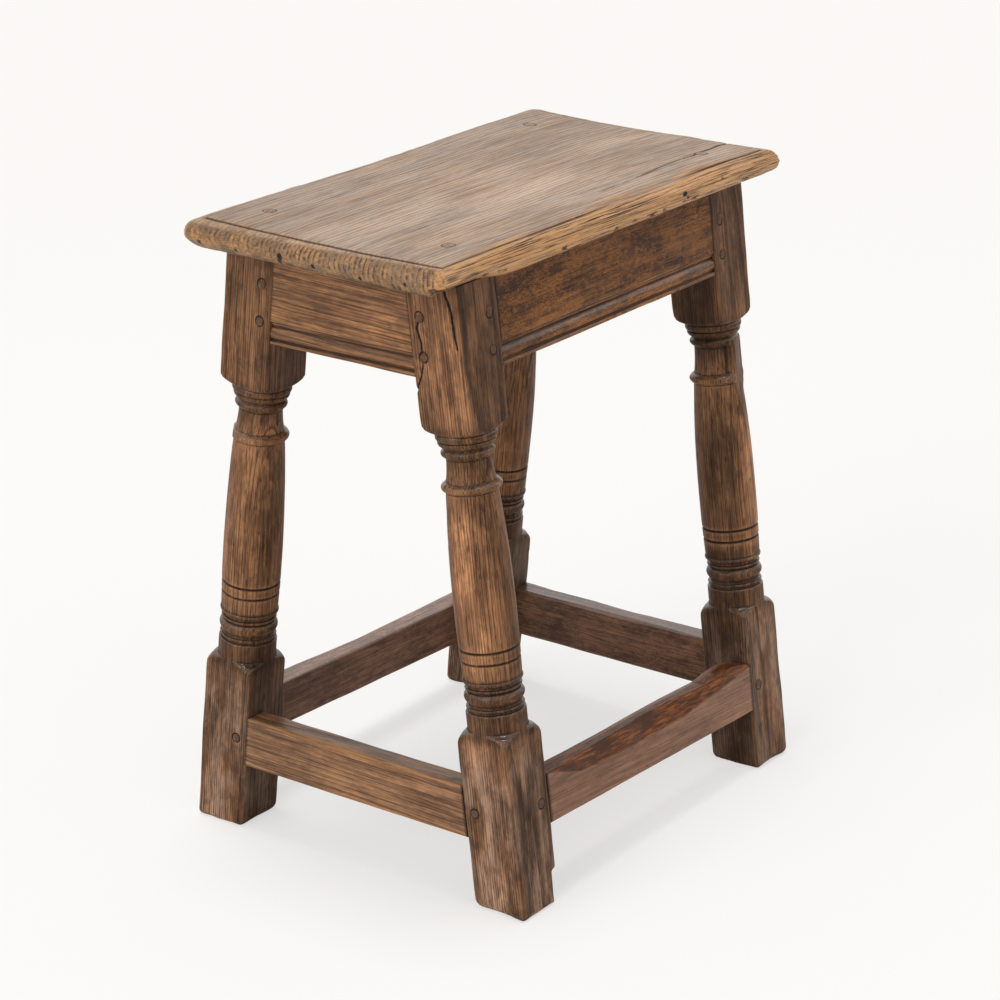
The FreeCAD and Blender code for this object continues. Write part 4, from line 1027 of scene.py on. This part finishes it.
# The pieces
# In the legs' last lists, painted light and shade: the near leg's top block is lightened on its face towards
# -x and darkened towards -y, and its foot and the left of its barrel are lightened. The right leg's front
# faces high up are darkened. The right leg's inner face is darkened as old skin and painted shade. The other
# entries are patches of tone.
make_leg("leg_front_left", 2, (-9, 160), sole=6.5, flats=[(-9, 28, (0.707, -0.707), 30.4)],
         shades=[(205, 345, (-0.9, -0.4), 0.95), (418, 538, (0, -1), -0.4), (418, 538, (-1, 0), 0.5),
                 (-10, 150, (-1, 0), 0.3), (-10, 150, (0, -1), 0.15), (330, 372, (-0.5, -0.8), -0.3),
                 (492, 545, (-0.53, -0.53), -0.9)],
         cracks=[[(-13.0, 538), (-13.6, 530), (-15.8, 524.6), (-17.8, 517.5), (-18.9, 496.6), (-20.4, 487)],
                 [(15.9, 505), (18.6, 499), (15.3, 487), (16.2, 473)],
                 [(15.9, 470), (20.3, 458), (25.5, 449)]])
make_leg("leg_front_right", 5, (30, 190), drop=9.0, wane=(340, 404, (0.32, -0.95), 20.8, 0.85),
         shades=[(-10, 538, (-1, 0), -0.5), (-10, 140, (-1, 0), -0.25), (205, 540, (-0.4, -0.9), -0.25),
                 (190, 330, (0.3, -0.95), 1.0), (418, 538, (0, -1), -0.35)])
make_leg("leg_back_left", 8, (60, 150), flats=[(357, 377, (0.6, -0.8), 22.1)],
         shades=[(418, 538, (1, 0), -0.4), (-10, 150, (1, 0), 0.05), (300, 372, (0.5, 0.8), -0.3)])
make_leg("leg_back_right", 11, (-20, 170), shades=[(0, 540, (1, 0), 0.2)])

# the front rail's band from 45 to 170 along and 485 to 545 up is the painted shadow of the seat
make_rail("front", 3, (520, -900), 4.4, 0.0, 0.10, FRONT_RAIL_WOOD, bead=0.3, tone=-0.12,
          shades=[(45, 170, (485, 545), -0.3)])
make_rail("back", 4, (500, 800), 4.4, 0.0, 0.10, FRONT_RAIL_WOOD)
make_rail("left", 6, (-300, 60), 5.6, 0.03, 0.28, SIDE_RAIL_WOOD, bead=-0.3)
make_rail("right", 7, (-200, 160), 5.2, -0.02, 0.25, SIDE_RAIL_WOOD, bead=-0.3, tone=-0.3)

make_stretcher("front", 12, (300, -500), 3.4, 0.02, 0.10, FRONT_BAR_WOOD, foot_hollow, bared=FOOT_BARED)
make_stretcher("back", 13, (-200, -300), 4.4, 0.0, 0.12, DARK_BAR_WOOD, both_arrises(3.5, 6, 1.0, 7),
               tone=0.35)
make_stretcher("left", 14, (-260, 30), 5.0, 0.02, 0.22, BAR_WOOD, both_arrises(2.2, 8, 1.2, 9))
make_stretcher("right", 15, (300, 200), 4.6, 0.0, 0.15, DARK_BAR_WOOD, both_arrises(2.5, 10, 1.5, 4))

make_seat()
for side in PLACES:
    for kind in ("rail", "stretcher"):
        make_pegs(f"{kind}_pegs_{side}", peg_spots(side, kind), PEG_RADIUS - 0.3, PEG_WOOD)
seat_spots = [((x, y, SEAT_TOP - 0.15 - float(seat_drop(x, y))), (0, 0, 1)) for x, y in SEAT_PEGS]
make_pegs("seat_pegs", seat_spots, SEAT_PEG_RADIUS - 0.4, SEAT_WOOD)


# Floor, light and camera
FLOOR_REACH = 30.0
FLOOR_NEAR, FLOOR_FAR, FLOOR_SEEN = colour(250, 250, 249), colour(246, 243, 241), colour(254, 253, 251)
# Colour and strength of the world's light, of what gloss mirrors, and of what the camera sees
STUDIO_LIGHT = ((1.0, 0.968, 0.94, 1.0), 0.44)
STUDIO_MIRRORED = ((1.0, 0.99, 0.98, 1.0), 1.0)
STUDIO_SEEN = (colour(250, 247, 244), 1.0)
CAMERA_PLACE = (-2.08884, -1.5608, 1.23821)
YAW, PITCH, ROLL = (math.radians(angle) for angle in (53.32, -20.34, -0.571))
# The camera's focal length in pixels of the photograph, whose side is 1000 pixels
FOCAL_PIXELS, PHOTO_PIXELS, SENSOR_WIDTH = 3179.73, 1000, 36.0


def make_floor():
    """A pale floor that keeps the shadows, a little warmer away from the viewer."""
    mesh = bpy.data.meshes.new("floor")
    corners = [(x * FLOOR_REACH, y * FLOOR_REACH, 0) for x, y in ((-1, -1), (1, -1), (1, 1), (-1, 1))]
    mesh.from_pydata(corners, [], [(0, 1, 2, 3)])
    material = bpy.data.materials.new("pale_floor")
    graph = Graph(material)
    place = graph.add("TexCoord").outputs["Object"]
    back = graph.add("VectorMath", {0: place, 1: (0.8, 0.6, 0.0)}, operation="DOT_PRODUCT").outputs["Value"]
    lit = graph.add("BsdfDiffuse", {"Color": graph.mix(graph.span(back, 0.2, 2.5), FLOOR_NEAR, FLOOR_FAR)})
    plain = graph.add("Emission", {"Color": FLOOR_SEEN})
    seen = graph.times(graph.add("LightPath").outputs["Is Camera Ray"], 0.6)
    graph.add("OutputMaterial", {0: graph.mix_shader(seen, lit.outputs[0], plain.outputs[0])})
    mesh.materials.append(material)
    add_object("floor", mesh)


def make_world():
    """Even studio light, in which gloss mirrors a white room and the camera sees a pale backdrop."""
    world = bpy.data.worlds.new("studio")
    bpy.context.scene.world = world
    graph = Graph(world)
    rays = graph.add("LightPath").outputs
    light, mirrored, seen = (graph.add("Background", {0: shade, 1: strength}).outputs[0]
                             for shade, strength in (STUDIO_LIGHT, STUDIO_MIRRORED, STUDIO_SEEN))
    lit = graph.mix_shader(rays["Is Glossy Ray"], light, mirrored)
    graph.add("OutputWorld", {0: graph.mix_shader(rays["Is Camera Ray"], lit, seen)})


def make_sun(name, direction, angle, strength):
    """A far, wide, soft light that comes from the given direction."""
    lamp = bpy.data.lights.new(name, "SUN")
    lamp.angle = math.radians(angle)
    lamp.energy = strength
    holder = add_object(name, lamp)
    holder.rotation_mode = "QUATERNION"
    holder.rotation_quaternion = Vector(direction).to_track_quat("Z", "Y")


def make_camera():
    """The photograph's own viewpoint: the near corner, a little above the seat."""
    camera = bpy.data.cameras.new("camera")
    camera.sensor_width = SENSOR_WIDTH
    camera.lens = FOCAL_PIXELS / PHOTO_PIXELS * SENSOR_WIDTH
    camera.clip_end = 100
    holder = add_object("camera", camera)
    turn = Matrix.Rotation(-YAW, 4, "Z") @ Matrix.Rotation(math.pi / 2 + PITCH, 4, "X")
    holder.matrix_world = Matrix.Translation(CAMERA_PLACE) @ turn @ Matrix.Rotation(ROLL, 4, "Z")
    bpy.context.scene.camera = holder


make_floor()
make_world()
make_sun("overhead", (0.02, 0.06, 1.0), 18, 1.2)
make_sun("left", (-1.0, 0.15, 0.36), 50, 1.50)
make_sun("right", (-0.15, -1.0, 0.45), 60, 0.22)
make_camera()
bpy.context.scene.view_settings.view_transform = "Standard"
